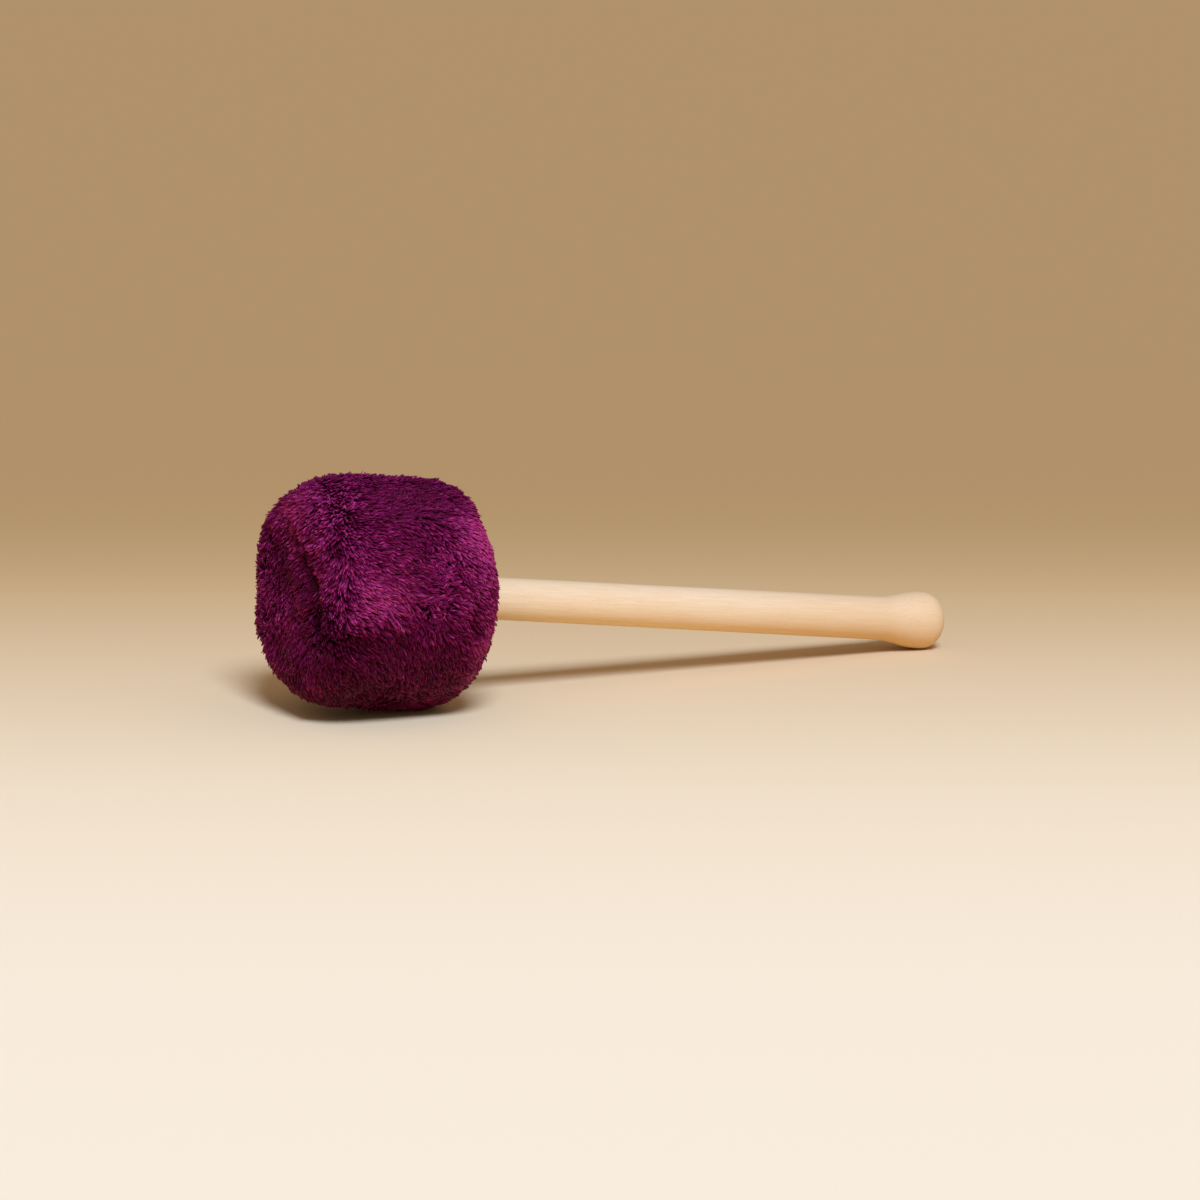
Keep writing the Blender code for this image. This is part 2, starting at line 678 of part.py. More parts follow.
def make_threads(thread, axis):
    """The threads of the two round seams and of the side band's closing seam."""
    for name, seam in (("front_seam_thread", FRONT_SEAM), ("rear_seam_thread", REAR_SEAM)):
        x, radius = head_point(seam, THREAD_INSET)
        path = [around(FULL_TURN * k / RING_SIDES, x, radius) for k in range(RING_SIDES)]
        place(name, swept(path + path[:1], THREAD_RADIUS, THREAD_SIDES), thread, axis)
    clear = 2 * THREAD_RADIUS + 2 * FIT
    ts = stations(beside(FRONT_SEAM, clear), beside(REAR_SEAM, -clear))
    path = [around(SIDE_SEAM_ANGLE, *head_point(t, THREAD_INSET)) for t in ts]
    place("side_seam_thread", swept(path, THREAD_RADIUS, THREAD_SIDES), thread, axis)


def make_drawcord(thread, axis):
    """The cord in the neck hem: one and a quarter turns, its ends side by side."""
    low = drawcord_room()[0] + FIT + DRAWCORD_RADIUS
    radius = NECK_RADIUS + DRAWCORD_RADIUS
    steps = round(DRAWCORD_TURNS * CORD_STEPS_PER_TURN)
    path = []
    for i in range(steps + 1):
        turns = DRAWCORD_TURNS * i / steps
        path.append(around(FULL_TURN * turns, low + DRAWCORD_PITCH * turns, radius))
    place("neck_drawcord", swept(path, DRAWCORD_RADIUS, CORD_SIDES), thread, axis)
    gap = least_gap(path, path, CORD_STEPS_PER_TURN // 2) - 2 * DRAWCORD_RADIUS
    print(f"neck_drawcord: least gap between its ends {1000 * gap:.2f} mm")


def main():
    """Builds the mallet."""
    clear_scene()
    beech = make_material("beech", (0.78, 0.60, 0.40), 0.45)
    steel = make_material("zinc_plated_steel", (0.60, 0.60, 0.62), 0.35, 1.0)
    rubber = make_material("black_rubber", (0.03, 0.03, 0.03), 0.7)
    felt = make_material("grey_felt", (0.45, 0.44, 0.42), 0.95)
    plush = make_material("magenta_plush", (0.20, 0.015, 0.11), 0.9)
    thread = make_material("cotton_thread", (0.10, 0.01, 0.06), 0.8)

    tilt, height = tilt_at_rest()
    axis = bpy.data.objects.new("mallet_axis", None)
    bpy.context.scene.collection.objects.link(axis)
    axis.location = (0, 0, height)
    axis.rotation_euler = (0, tilt, 0)

    handle = make_handle(beech, axis)
    hub = make_hub(beech, axis)
    make_lock_pin(steel, axis, handle, hub)
    make_washer(steel, axis)
    make_screw(steel, axis)
    make_rubber(rubber, axis)
    make_felt_winding(felt, axis)
    make_discs(felt, axis)
    make_cover(plush, axis, tilt, height)
    make_threads(thread, axis)
    make_drawcord(thread, axis)
    centre_over_origin(axis)
    print(f"tilt {math.degrees(tilt):.2f} degrees, axis height {1000 * height:.2f} mm at the middle of the head")


main()
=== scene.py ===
"""Dresses the gong mallet: plush cover, padding, core, beech handle, then the floor, the lamps and the camera.

Lengths are in metres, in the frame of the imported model: the mallet lies at rest on Z = 0, and its own axis runs
from the striking face through the head to the knob.
"""

import logging
import math
from collections.abc import Sequence
from dataclasses import dataclass, field
from enum import Enum

import bmesh
import bpy
import numpy as np
from mathutils import Matrix, Vector
from mathutils.bvhtree import BVHTree
from mathutils.kdtree import KDTree


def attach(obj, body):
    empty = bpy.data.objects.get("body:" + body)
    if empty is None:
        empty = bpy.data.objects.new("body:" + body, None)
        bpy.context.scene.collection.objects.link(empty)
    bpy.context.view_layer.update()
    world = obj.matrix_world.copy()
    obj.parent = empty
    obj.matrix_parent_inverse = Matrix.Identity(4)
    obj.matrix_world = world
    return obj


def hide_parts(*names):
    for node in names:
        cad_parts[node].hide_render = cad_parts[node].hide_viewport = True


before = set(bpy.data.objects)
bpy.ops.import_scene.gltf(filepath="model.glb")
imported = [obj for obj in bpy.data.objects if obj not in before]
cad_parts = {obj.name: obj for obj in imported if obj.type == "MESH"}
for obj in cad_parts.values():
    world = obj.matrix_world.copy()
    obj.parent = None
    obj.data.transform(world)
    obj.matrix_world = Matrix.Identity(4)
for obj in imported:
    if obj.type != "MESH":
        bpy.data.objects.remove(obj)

LOG = logging.getLogger("gong_mallet")
MILLIMETRE = 0.001
FIT = 0.0003  # clearance between pieces that touch
CREASE = math.radians(40)  # edges sharper than this stay sharp
WELD = 1e-6  # corners closer than this are merged
TINY = 1e-12  # keeps a vector without a length from dividing by nothing
SEARCH = 0.002  # how far outside the cover the search for its surface starts
DOWN = np.array((0.0, 0.0, -1.0))
LOCK_MAP = "OFBake"  # the map that the locks' colour is read from


# Small tools

def linear(colour: str) -> tuple[float, float, float, float]:
    """Turns an sRGB hex colour into a linear one.

    Args:
        colour: The colour, such as "#E3C08F".

    Returns:
        Red, green, blue and alpha, from 0 to 1.
    """
    parts = [int(colour[i : i + 2], 16) / 255 for i in (1, 3, 5)]
    red, green, blue = [c / 12.92 if c <= 0.04045 else ((c + 0.055) / 1.055) ** 2.4 for c in parts]
    return red, green, blue, 1.0


def unit(vectors: np.ndarray) -> np.ndarray:
    """Returns the vectors with length 1."""
    return vectors / np.linalg.norm(vectors, axis=-1, keepdims=True).clip(TINY)


def bell(distance: np.ndarray) -> np.ndarray:
    """Returns 1 where the distance is 0, falling smoothly to 0 on both sides."""
    return np.exp(-(distance**2))


def per_metre(size_mm: float) -> float:
    """Returns the scale of a pattern whose marks are this large."""
    return 1 / (size_mm * MILLIMETRE)


def appear(name: str, data: bpy.types.ID) -> bpy.types.Object:
    """Returns a new object in the scene, made of this mesh, lamp or camera."""
    thing = bpy.data.objects.new(name, data)
    bpy.context.scene.collection.objects.link(thing)
    return thing


def add(
    material: bpy.types.Material | bpy.types.World,
    kind: str,
    inputs: dict[str | int, object] | None = None,
    links: dict[str | int, bpy.types.NodeSocket] | None = None,
    **settings: object,
) -> bpy.types.Node:
    """Adds one node to a material or a world.

    Args:
        material: What the node is for.
        kind: The node's type.
        inputs: Values of its sockets, by name or number.
        links: The outputs that run into its sockets, by name or number.
        **settings: The node's own settings.

    Returns:
        The new node.
    """
    tree = material.node_tree
    node = tree.nodes.new(kind)
    for name, value in settings.items():
        setattr(node, name, value)
    for socket, value in (inputs or {}).items():
        node.inputs[socket].default_value = value
    for socket, source in (links or {}).items():
        tree.links.new(source, node.inputs[socket])
    return node


def set_stops(ramp: bpy.types.Node, stops: Sequence[tuple[float, str]]) -> None:
    """Gives a colour ramp its stops.

    Args:
        ramp: The colour ramp node.
        stops: Places from 0 to 1, each with its sRGB hex colour.
    """
    elements = ramp.color_ramp.elements
    for element, (place, colour) in ((elements[0], stops[0]), (elements[-1], stops[-1])):
        element.position = place
        element.color = linear(colour)
    for place, colour in stops[1:-1]:
        elements.new(place).color = linear(colour)


def new_material(name: str, **values: object) -> tuple[bpy.types.Material, bpy.types.Node]:
    """Makes a material with a Principled shader.

    Args:
        name: The finish's plain name.
        **values: The shader's constant values, with underscores for the spaces in their names.

    Returns:
        The material and its shader.
    """
    material = bpy.data.materials.new(name)
    material.use_nodes = True
    shader = material.node_tree.nodes["Principled BSDF"]
    for key, value in values.items():
        shader.inputs[key.replace("_", " ")].default_value = value
    return material, shader


def join(material: bpy.types.Material, shader: bpy.types.Node, **sources: bpy.types.NodeSocket) -> None:
    """Runs outputs into a shader's sockets.

    Args:
        material: The material that the shader belongs to.
        shader: The shader.
        **sources: The outputs, by the sockets' names with underscores for their spaces.
    """
    for key, source in sources.items():
        material.node_tree.links.new(source, shader.inputs[key.replace("_", " ")])


# Finishes

@dataclass(frozen=True)
class Beech:
    """Steamed beech, turned, sanded along the grain and sprayed with a thin satin lacquer.

    The eye sees a pale, warm wood with very faint lengthwise grain and short, fine, darker flecks. It is a little
    deeper and more orange towards the knob.
    """

    pale: str = "#DFC9B6"
    warm: str = "#D6BC9D"
    fleck: str = "#C0966A"
    # A deeper, more orange tone that grows along the shaft towards the knob.
    knob_tint: str = "#C79F72"
    knob_tint_share: float = 0.30
    knob_tint_from: float = 0.050  # along the shaft, where the deeper colour begins
    knob_tint_to: float = 0.190  # and where it is full
    grain_mm: float = 0.9  # between streaks, drawn coarser than the real grain so that it shows
    streak: float = 25  # how many times as long as wide a streak is
    board_mm: float = 14  # the broad changes of tone
    board_share: float = 0.35
    fleck_mm: float = 0.75  # between flecks
    fleck_stretch: float = 6.25  # how many times as long as wide a fleck is
    fleck_rim: tuple[float, float] = (0.06, 0.20)  # where a fleck begins to fade and where it ends, as shares
    fleck_share: float = 0.6
    smoothest: float = 0.53
    roughest: float = 0.65
    bump_mm: float = 0.05

    def material(self) -> bpy.types.Material:
        """Builds the material, its grain running along the mallet's axis."""
        wood, shader = new_material("lacquered_beech", Coat_Weight=0.12, Coat_Roughness=0.45)
        place = add(wood, "ShaderNodeTexCoord").outputs["Object"]
        along = add(
            wood, "ShaderNodeMapping", {"Rotation": (0, -AXIS.tilt, 0)}, {"Vector": place}, vector_type="POINT"
        ).outputs["Vector"]
        rings = add(
            wood, "ShaderNodeMapping", {"Scale": (1 / self.streak, 1, 1)}, {"Vector": along}, vector_type="POINT"
        ).outputs["Vector"]
        grain = add(
            wood, "ShaderNodeTexNoise",
            {"Scale": per_metre(self.grain_mm), "Detail": 5.0, "Roughness": 0.55, "Distortion": 0.3},
            {"Vector": rings},
        ).outputs["Fac"]
        board = add(
            wood, "ShaderNodeTexNoise", {"Scale": per_metre(self.board_mm), "Detail": 2.0}, {"Vector": rings}
        ).outputs["Fac"]
        # The rays show as flecks up to 0.3 mm wide and 2 mm long.
        ray_space = add(
            wood, "ShaderNodeMapping", {"Scale": (1 / self.fleck_stretch, 1, 1)}, {"Vector": along},
            vector_type="POINT",
        ).outputs["Vector"]
        flecks = add(
            wood, "ShaderNodeTexVoronoi", {"Scale": per_metre(self.fleck_mm), "Randomness": 1.0},
            {"Vector": ray_space}, feature="F1",
        ).outputs["Distance"]
        core, rim = self.fleck_rim
        fleck_mask = add(
            wood, "ShaderNodeMapRange",
            {"From Min": core, "From Max": rim, "To Min": self.fleck_share, "To Max": 0.0}, {"Value": flecks},
        ).outputs["Result"]
        tone = add(wood, "ShaderNodeMapRange", {"From Min": 0.35, "From Max": 0.68}, {"Value": grain}).outputs["Result"]
        broad = add(
            wood, "ShaderNodeMapRange", {"From Min": 0.3, "From Max": 0.7, "To Max": self.board_share},
            {"Value": board},
        ).outputs["Result"]
        length = add(wood, "ShaderNodeSeparateXYZ", links={"Vector": along}).outputs["X"]
        knob_tint_mix = add(
            wood, "ShaderNodeMapRange",
            {"From Min": self.knob_tint_from, "From Max": self.knob_tint_to, "To Max": self.knob_tint_share}, {"Value": length},
        ).outputs["Result"]
        colour = add(
            wood, "ShaderNodeMix", {6: linear(self.pale), 7: linear(self.warm)}, {0: tone}, data_type="RGBA"
        ).outputs[2]
        for tint, share in ((self.warm, broad), (self.knob_tint, knob_tint_mix), (self.fleck, fleck_mask)):
            colour = add(
                wood, "ShaderNodeMix", {7: linear(tint)}, {0: share, 6: colour}, data_type="RGBA"
            ).outputs[2]
        rough = add(
            wood, "ShaderNodeMapRange",
            {"From Min": 0.3, "From Max": 0.7, "To Min": self.smoothest, "To Max": self.roughest}, {"Value": grain},
        ).outputs["Result"]
        bump = add(
            wood, "ShaderNodeBump", {"Strength": 0.12, "Distance": self.bump_mm * MILLIMETRE}, {"Height": grain}
        ).outputs["Normal"]
        join(wood, shader, Base_Color=colour, Roughness=rough, Normal=bump)
        return wood


@dataclass(frozen=True)
class Plush:
    """Polyester plush, its pile cut and dyed in the piece.

    The eye sees glossy tips. Each lock darkens from tip to root, painted shade for the depth of the pile, and the tone
    of each lock changes with the way it lies: the strokes and the step at the seam lay painted light and shade over the
    locks' own uneven tone.
    The locks' own map holds that tone across and the way from root to tip upwards.
    """

    # Painted shade: each lock darkens towards this colour at its root, for the depth of the pile.
    root: str = "#1C010C"
    # The locks' tones from dark to bright. The painted light and shade of the strokes and the step move each lock among
    # them.
    shade: str = "#3A021C"
    middle: str = "#7A1056"
    bright: str = "#C23E96"
    sheen: str = "#C8288C"
    gloss: str = "#E060A8"

    def material(self) -> bpy.types.Material:
        """Builds the material of the locks."""
        pile, shader = new_material(
            "polyester_plush", Roughness=0.45, Sheen_Weight=0.4, Sheen_Roughness=0.3,
            Sheen_Tint=linear(self.sheen), Specular_IOR_Level=0.35, Specular_Tint=linear(self.gloss),
        )
        spot = add(pile, "ShaderNodeUVMap", uv_map=LOCK_MAP).outputs["UV"]
        parts = add(pile, "ShaderNodeSeparateXYZ", links={"Vector": spot})
        # Across the map: each lock's tone, with its painted light and shade.
        tips = add(pile, "ShaderNodeValToRGB", links={"Fac": parts.outputs["X"]})
        set_stops(tips, ((0.0, self.shade), (0.5, self.middle), (1.0, self.bright)))
        # Up the map: painted shade darkens each lock towards its root.
        rise = add(
            pile, "ShaderNodeMapRange", {"From Min": 0.28, "From Max": 0.95}, {"Value": parts.outputs["Y"]}
        ).outputs["Result"]
        colour = add(
            pile, "ShaderNodeMix", {6: linear(self.root)}, {0: rise, 7: tips.outputs["Color"]}, data_type="RGBA"
        ).outputs[2]
        join(pile, shader, Base_Color=colour)
        return pile


@dataclass(frozen=True)
class Knit:
    """The plush's knitted polyester backing, in the colour of the pile's roots. The eye sees rows of small loops."""

    thread: str = "#4A0C33"
    gap: str = "#260419"
    sheen: str = "#8A2060"
    loop_mm: float = 0.9  # between loops
    bump_mm: float = 0.25

    def material(self) -> bpy.types.Material:
        """Builds the material of the backing cloth."""
        cloth, shader = new_material(
            "knitted_polyester_backing", Roughness=0.85, Sheen_Weight=0.2, Sheen_Tint=linear(self.sheen)
        )
        place = add(cloth, "ShaderNodeTexCoord").outputs["Object"]
        loops = add(
            cloth, "ShaderNodeTexVoronoi", {"Scale": per_metre(self.loop_mm), "Randomness": 0.35}, {"Vector": place}
        ).outputs["Distance"]
        height = add(
            cloth, "ShaderNodeMapRange", {"From Min": 0.1, "From Max": 0.7, "To Min": 1.0, "To Max": 0.0},
            {"Value": loops},
        ).outputs["Result"]
        colour = add(
            cloth, "ShaderNodeMix", {6: linear(self.gap), 7: linear(self.thread)}, {0: height}, data_type="RGBA"
        ).outputs[2]
        bump = add(
            cloth, "ShaderNodeBump", {"Strength": 0.6, "Distance": self.bump_mm * MILLIMETRE}, {"Height": height}
        ).outputs["Normal"]
        join(cloth, shader, Base_Color=colour, Normal=bump)
        return cloth


@dataclass(frozen=True)
class Felt:
    """Pressed wool felt, undyed grey. The eye sees matted fibres a few tenths of a millimetre thick, and no gloss."""

    light: str = "#B4B1A8"
    dark: str = "#77736B"
    fibre_mm: float = 0.35
    cloud_mm: float = 9  # the broad changes of tone
    bump_mm: float = 0.2

    def material(self) -> bpy.types.Material:
        """Builds the material of the felt."""
        felt, shader = new_material("pressed_wool_felt", Roughness=0.95, Sheen_Weight=0.3, Sheen_Roughness=0.5)
        place = add(felt, "ShaderNodeTexCoord").outputs["Object"]
        fibres = add(
            felt, "ShaderNodeTexNoise",
            {"Scale": per_metre(self.fibre_mm), "Detail": 4.0, "Roughness": 0.7, "Distortion": 1.2},
            {"Vector": place},
        ).outputs["Fac"]
        clouds = add(
            felt, "ShaderNodeTexNoise", {"Scale": per_metre(self.cloud_mm), "Detail": 2.0}, {"Vector": place}
        ).outputs["Fac"]
        both = add(felt, "ShaderNodeMath", links={0: fibres, 1: clouds}, operation="ADD").outputs[0]
        tone = add(felt, "ShaderNodeMapRange", {"From Min": 0.7, "From Max": 1.3}, {"Value": both}).outputs["Result"]
        colour = add(
            felt, "ShaderNodeMix", {6: linear(self.dark), 7: linear(self.light)}, {0: tone}, data_type="RGBA"
        ).outputs[2]
        bump = add(
            felt, "ShaderNodeBump", {"Strength": 0.5, "Distance": self.bump_mm * MILLIMETRE}, {"Height": fibres}
        ).outputs["Normal"]
        join(felt, shader, Base_Color=colour, Normal=bump)
        return felt


@dataclass(frozen=True)
class Rubber:
    """Natural rubber, moulded. The eye sees a matt black with a faint bloom of wax."""

    black: str = "#161616"
    bloom: str = "#2B2A28"
    bloom_mm: float = 5
    skin_mm: float = 0.4
    bump_mm: float = 0.05

    def material(self) -> bpy.types.Material:
        """Builds the material of the rubber sleeve."""
        rubber, shader = new_material("moulded_natural_rubber", Roughness=0.7)
        place = add(rubber, "ShaderNodeTexCoord").outputs["Object"]
        clouds = add(
            rubber, "ShaderNodeTexNoise", {"Scale": per_metre(self.bloom_mm), "Detail": 5.0}, {"Vector": place}
        ).outputs["Fac"]
        skin = add(
            rubber, "ShaderNodeTexNoise", {"Scale": per_metre(self.skin_mm), "Detail": 3.0}, {"Vector": place}
        ).outputs["Fac"]
        colour = add(
            rubber, "ShaderNodeMix", {6: linear(self.black), 7: linear(self.bloom)}, {0: clouds}, data_type="RGBA"
        ).outputs[2]
        bump = add(
            rubber, "ShaderNodeBump", {"Strength": 0.25, "Distance": self.bump_mm * MILLIMETRE}, {"Height": skin}
        ).outputs["Normal"]
        join(rubber, shader, Base_Color=colour, Normal=bump)
        return rubber


@dataclass(frozen=True)
class Zinc:
    """Mild steel, bright zinc plated. The eye sees a slightly blue, clouded metal."""

    bright: str = "#C9CCCF"
    dull: str = "#A3A6A9"
    cloud_mm: float = 1.5
    smoothest: float = 0.26
    roughest: float = 0.42

    def material(self) -> bpy.types.Material:
        """Builds the material of the screw, the washer and the pin."""
        steel, shader = new_material("zinc_plated_steel", Metallic=1.0)
        place = add(steel, "ShaderNodeTexCoord").outputs["Object"]
        clouds = add(
            steel, "ShaderNodeTexNoise", {"Scale": per_metre(self.cloud_mm), "Detail": 6.0}, {"Vector": place}
        ).outputs["Fac"]
        colour = add(
            steel, "ShaderNodeMix", {6: linear(self.bright), 7: linear(self.dull)}, {0: clouds}, data_type="RGBA"
        ).outputs[2]
        rough = add(
            steel, "ShaderNodeMapRange",
            {"From Min": 0.3, "From Max": 0.7, "To Min": self.smoothest, "To Max": self.roughest}, {"Value": clouds},
        ).outputs["Result"]
        join(steel, shader, Base_Color=colour, Roughness=rough)
        return steel


@dataclass(frozen=True)
class Cotton:
    """Waxed cotton, twisted, dyed to match the plush. The eye sees its shade change along the thread.

    The plies lie under 1 mm apart, too fine to show, so the twist is drawn much coarser, as soft bands.
    """

    ply: str = "#5E1546"
    valley: str = "#2A061E"
    band_mm: float = 10.053
    wave: float = math.tau / 10  # how wide the diagonal bands are at a scale of 1
    bump_mm: float = 0.1

    def material(self) -> bpy.types.Material:
        """Builds the material of the threads and the draw cord."""
        cotton, shader = new_material("twisted_cotton", Roughness=0.75, Sheen_Weight=0.2)
        place = add(cotton, "ShaderNodeTexCoord").outputs["Object"]
        plies = add(
            cotton, "ShaderNodeTexWave", {"Scale": self.wave * per_metre(self.band_mm), "Distortion": 1.5},
            {"Vector": place}, wave_type="BANDS", bands_direction="DIAGONAL",
        ).outputs["Fac"]
        colour = add(
            cotton, "ShaderNodeMix", {6: linear(self.valley), 7: linear(self.ply)}, {0: plies}, data_type="RGBA"
        ).outputs[2]
        bump = add(
            cotton, "ShaderNodeBump", {"Strength": 0.6, "Distance": self.bump_mm * MILLIMETRE}, {"Height": plies}
        ).outputs["Normal"]
        join(cotton, shader, Base_Color=colour, Normal=bump)
        return cotton


class Slot(Enum):
    """The record's material slots."""

    BEECH = "beech"
    STEEL = "steel"
    RUBBER = "rubber"
    FELT = "felt"
    PLUSH = "plush"
    THREAD = "thread"


# Where everything lies

@dataclass(frozen=True)
class MalletAxis:
    """The line that every turned piece shares, as the mallet lies at rest."""

    middle: tuple[float, float, float] = (-0.170246, 0.0, 0.070834)  # of the head
    tilt: float = math.radians(7.7528)  # the knob's end is the lower one

    def matrix(self) -> Matrix:
        """Returns the way from the axis's own frame, X along it, to the model's."""
        return Matrix.Translation(self.middle) @ Matrix.Rotation(self.tilt, 4, "Y")

    def rotated(self, vectors: np.ndarray) -> np.ndarray:
        """Returns directions of the axis's own frame in the model's frame."""
        return vectors @ np.array(Matrix.Rotation(self.tilt, 3, "Y")).T

    def places(self, points: np.ndarray) -> np.ndarray:
        """Returns points of the axis's own frame in the model's frame."""
        return self.rotated(points) + np.array(self.middle)


AXIS = MalletAxis()


def turn(outline: Sequence[tuple[float, float]], sides: int, loop: bool = False) -> bmesh.types.BMesh:
    """Turns an outline full circle round the mallet's axis.

    Args:
        outline: Points (x, radius) in the axis's own frame.
        sides: Steps in the circle.
        loop: Whether the last point joins the first, rather than both lying on the axis.

    Returns:
        The closed, turned shape, still in the axis's own frame.
    """
    bm = bmesh.new()
    corners = [bm.verts.new((x, 0.0, radius)) for x, radius in outline]
    edges = [bm.edges.new(pair) for pair in zip(corners, corners[1:])]
    if loop:
        edges.append(bm.edges.new((corners[-1], corners[0])))
    bmesh.ops.spin(
        bm, geom=corners + edges, cent=(0, 0, 0), axis=(1, 0, 0), angle=math.tau, steps=sides, use_merge=True
    )
    bmesh.ops.remove_doubles(bm, verts=bm.verts, dist=WELD)
    bmesh.ops.recalc_face_normals(bm, faces=bm.faces)
    return bm


def tube(path: Sequence[Vector], radius: float, sides: int) -> bmesh.types.BMesh:
    """Makes a round thread along a path, by extruding a disc from point to point.

    Args:
        path: Points in the axis's own frame.
        radius: The thread's radius.
        sides: The sides of its section.

    Returns:
        The thread, with flat ends.
    """
    bm = bmesh.new()
    heading = (path[1] - path[0]).normalized()
    start = Matrix.Translation(path[0]) @ heading.to_track_quat("Z", "Y").to_matrix().to_4x4()
    bmesh.ops.create_circle(bm, cap_ends=True, radius=radius, segments=sides, matrix=start)
    face = next(iter(bm.faces))
    for i in range(1, len(path)):
        grown = bmesh.ops.extrude_face_region(bm, geom=[face])["geom"]
        face = next(item for item in grown if isinstance(item, bmesh.types.BMFace))
        ahead = (path[min(i + 1, len(path) - 1)] - path[i - 1]).normalized()
        swing = heading.rotation_difference(ahead)
        bmesh.ops.rotate(bm, verts=face.verts, cent=path[i - 1], matrix=swing.to_matrix())
        bmesh.ops.translate(bm, verts=face.verts, vec=path[i] - path[i - 1])
        heading = ahead
    bmesh.ops.recalc_face_normals(bm, faces=bm.faces)
    return bm


def stand(
    name: str,
    bm: bmesh.types.BMesh,
    material: bpy.types.Material,
    nodes: Sequence[str] = (),
    place: Matrix | None = None,
) -> bpy.types.Object:
    """Stands a finished mesh in the scene, riding on the mallet.

    Args:
        name: The piece's name.
        bm: Its mesh. It is freed.
        material: Its finish.
        nodes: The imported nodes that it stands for.
        place: The way from the mesh's frame to the model's, or None for a mesh in the axis's own frame.

    Returns:
        The piece.
    """
    bm.transform(AXIS.matrix() if place is None else place)
    mesh = bpy.data.meshes.new(name)
    bm.to_mesh(mesh)
    bm.free()
    mesh.materials.append(material)
    mesh.shade_smooth()
    mesh.set_sharp_from_angle(angle=CREASE)
    thing = appear(name, mesh)
    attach(thing, "root")
    if nodes:
        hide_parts(*nodes)
    LOG.info("%s: %d faces", name, len(mesh.polygons))
    return thing


# Handle

@dataclass
class Handle:
    """The turned handle: tenon with its pilot hole, shoulder, shaft, flare and rounded knob."""

    shaft_radius: float = 0.0125
    shaft_end_radius: float = 0.0136
    knob_radius: float = 0.0181
    reach: float = 0.4046  # from the head's middle to the knob's pole
    flare_length: float = 0.0330
    dome_length: float = 0.0130
    dome_fullness: float = 0.6
    shoulder: float = 0.0357
    tenon_end: float = -0.0277
    tenon_radius: float = 0.0100
    pilot_radius: float = 0.0028
    pilot_end: float = 0.0087
    edge: float = 0.0008  # the width of the broken edges
    pin_place: float = 0.0204
    pin_hole_radius: float = 0.0028
    sides: int = 128
    shaft_steps: int = 12
    curve_steps: int = 32  # along the flare, and along the dome
    hole_sides: int = 48

    def outline(self) -> list[tuple[float, float]]:
        """Returns the points (x, radius) from the bottom of the pilot hole, over the outside, to the knob's pole."""
        flare_start = self.reach - self.dome_length - self.flare_length
        points = [
            (self.pilot_end + self.pilot_radius / 2, 0.0),
            (self.pilot_end, self.pilot_radius),
            (self.tenon_end, self.pilot_radius),
            (self.tenon_end, self.tenon_radius - self.edge),
            (self.tenon_end + self.edge, self.tenon_radius),
            (self.shoulder, self.tenon_radius),
            (self.shoulder, self.shaft_radius - self.edge),
        ]
        for share in np.linspace(0, 1, self.shaft_steps + 1)[:-1]:
            x = self.shoulder + self.edge + (flare_start - self.shoulder - self.edge) * share
            points.append((x, self.shaft_radius + (self.shaft_end_radius - self.shaft_radius) * share))
        for share in np.linspace(0, 1, self.curve_steps + 1):
            swell = (1 - math.cos(math.pi * share)) / 2
            radius = self.shaft_end_radius + (self.knob_radius - self.shaft_end_radius) * swell
            points.append((flare_start + self.flare_length * share, radius))
        for angle in np.linspace(0, math.pi / 2, self.curve_steps + 1)[1:]:
            x = self.reach - self.dome_length * (1 - math.sin(angle))
            points.append((x, self.knob_radius * max(math.cos(angle), 0.0) ** self.dome_fullness))
        points[-1] = (self.reach, 0.0)
        return points

    def build(self, wood: bpy.types.Material) -> None:
        """Turns the handle, dresses it and bores the lock pin's hole.

        Args:
            wood: The lacquered beech.
        """
        handle = stand("turned_handle", turn(self.outline(), self.sides), wood, ["handle"])
        drill = bmesh.new()
        bmesh.ops.create_cone(
            drill, cap_ends=True, segments=self.hole_sides, radius1=self.pin_hole_radius,
            radius2=self.pin_hole_radius, depth=4 * self.tenon_radius,
            matrix=Matrix.Translation((self.pin_place, 0, 0)) @ Matrix.Rotation(math.pi / 2, 4, "X"),
        )
        drill.transform(AXIS.matrix())
        bore(handle, drill)


def bore(thing: bpy.types.Object, drill: bmesh.types.BMesh) -> None:
    """Cuts a hole through a piece.

    Args:
        thing: The piece, whose mesh is replaced.
        drill: The hole's shape, in the model's frame. It is freed.
    """
    mesh = bpy.data.meshes.new("drill")
    drill.to_mesh(mesh)
    drill.free()
    cutter = appear("drill", mesh)
    hole = thing.modifiers.new("hole", "BOOLEAN")
    hole.operation = "DIFFERENCE"
    hole.solver = "EXACT"
    hole.object = cutter
    graph = bpy.context.evaluated_depsgraph_get()
    cut = bpy.data.meshes.new_from_object(thing.evaluated_get(graph))
    thing.modifiers.clear()
    thing.data = cut
    cut.shade_smooth()
    cut.set_sharp_from_angle(angle=CREASE)
    bpy.data.objects.remove(cutter, do_unlink=True)


# Head

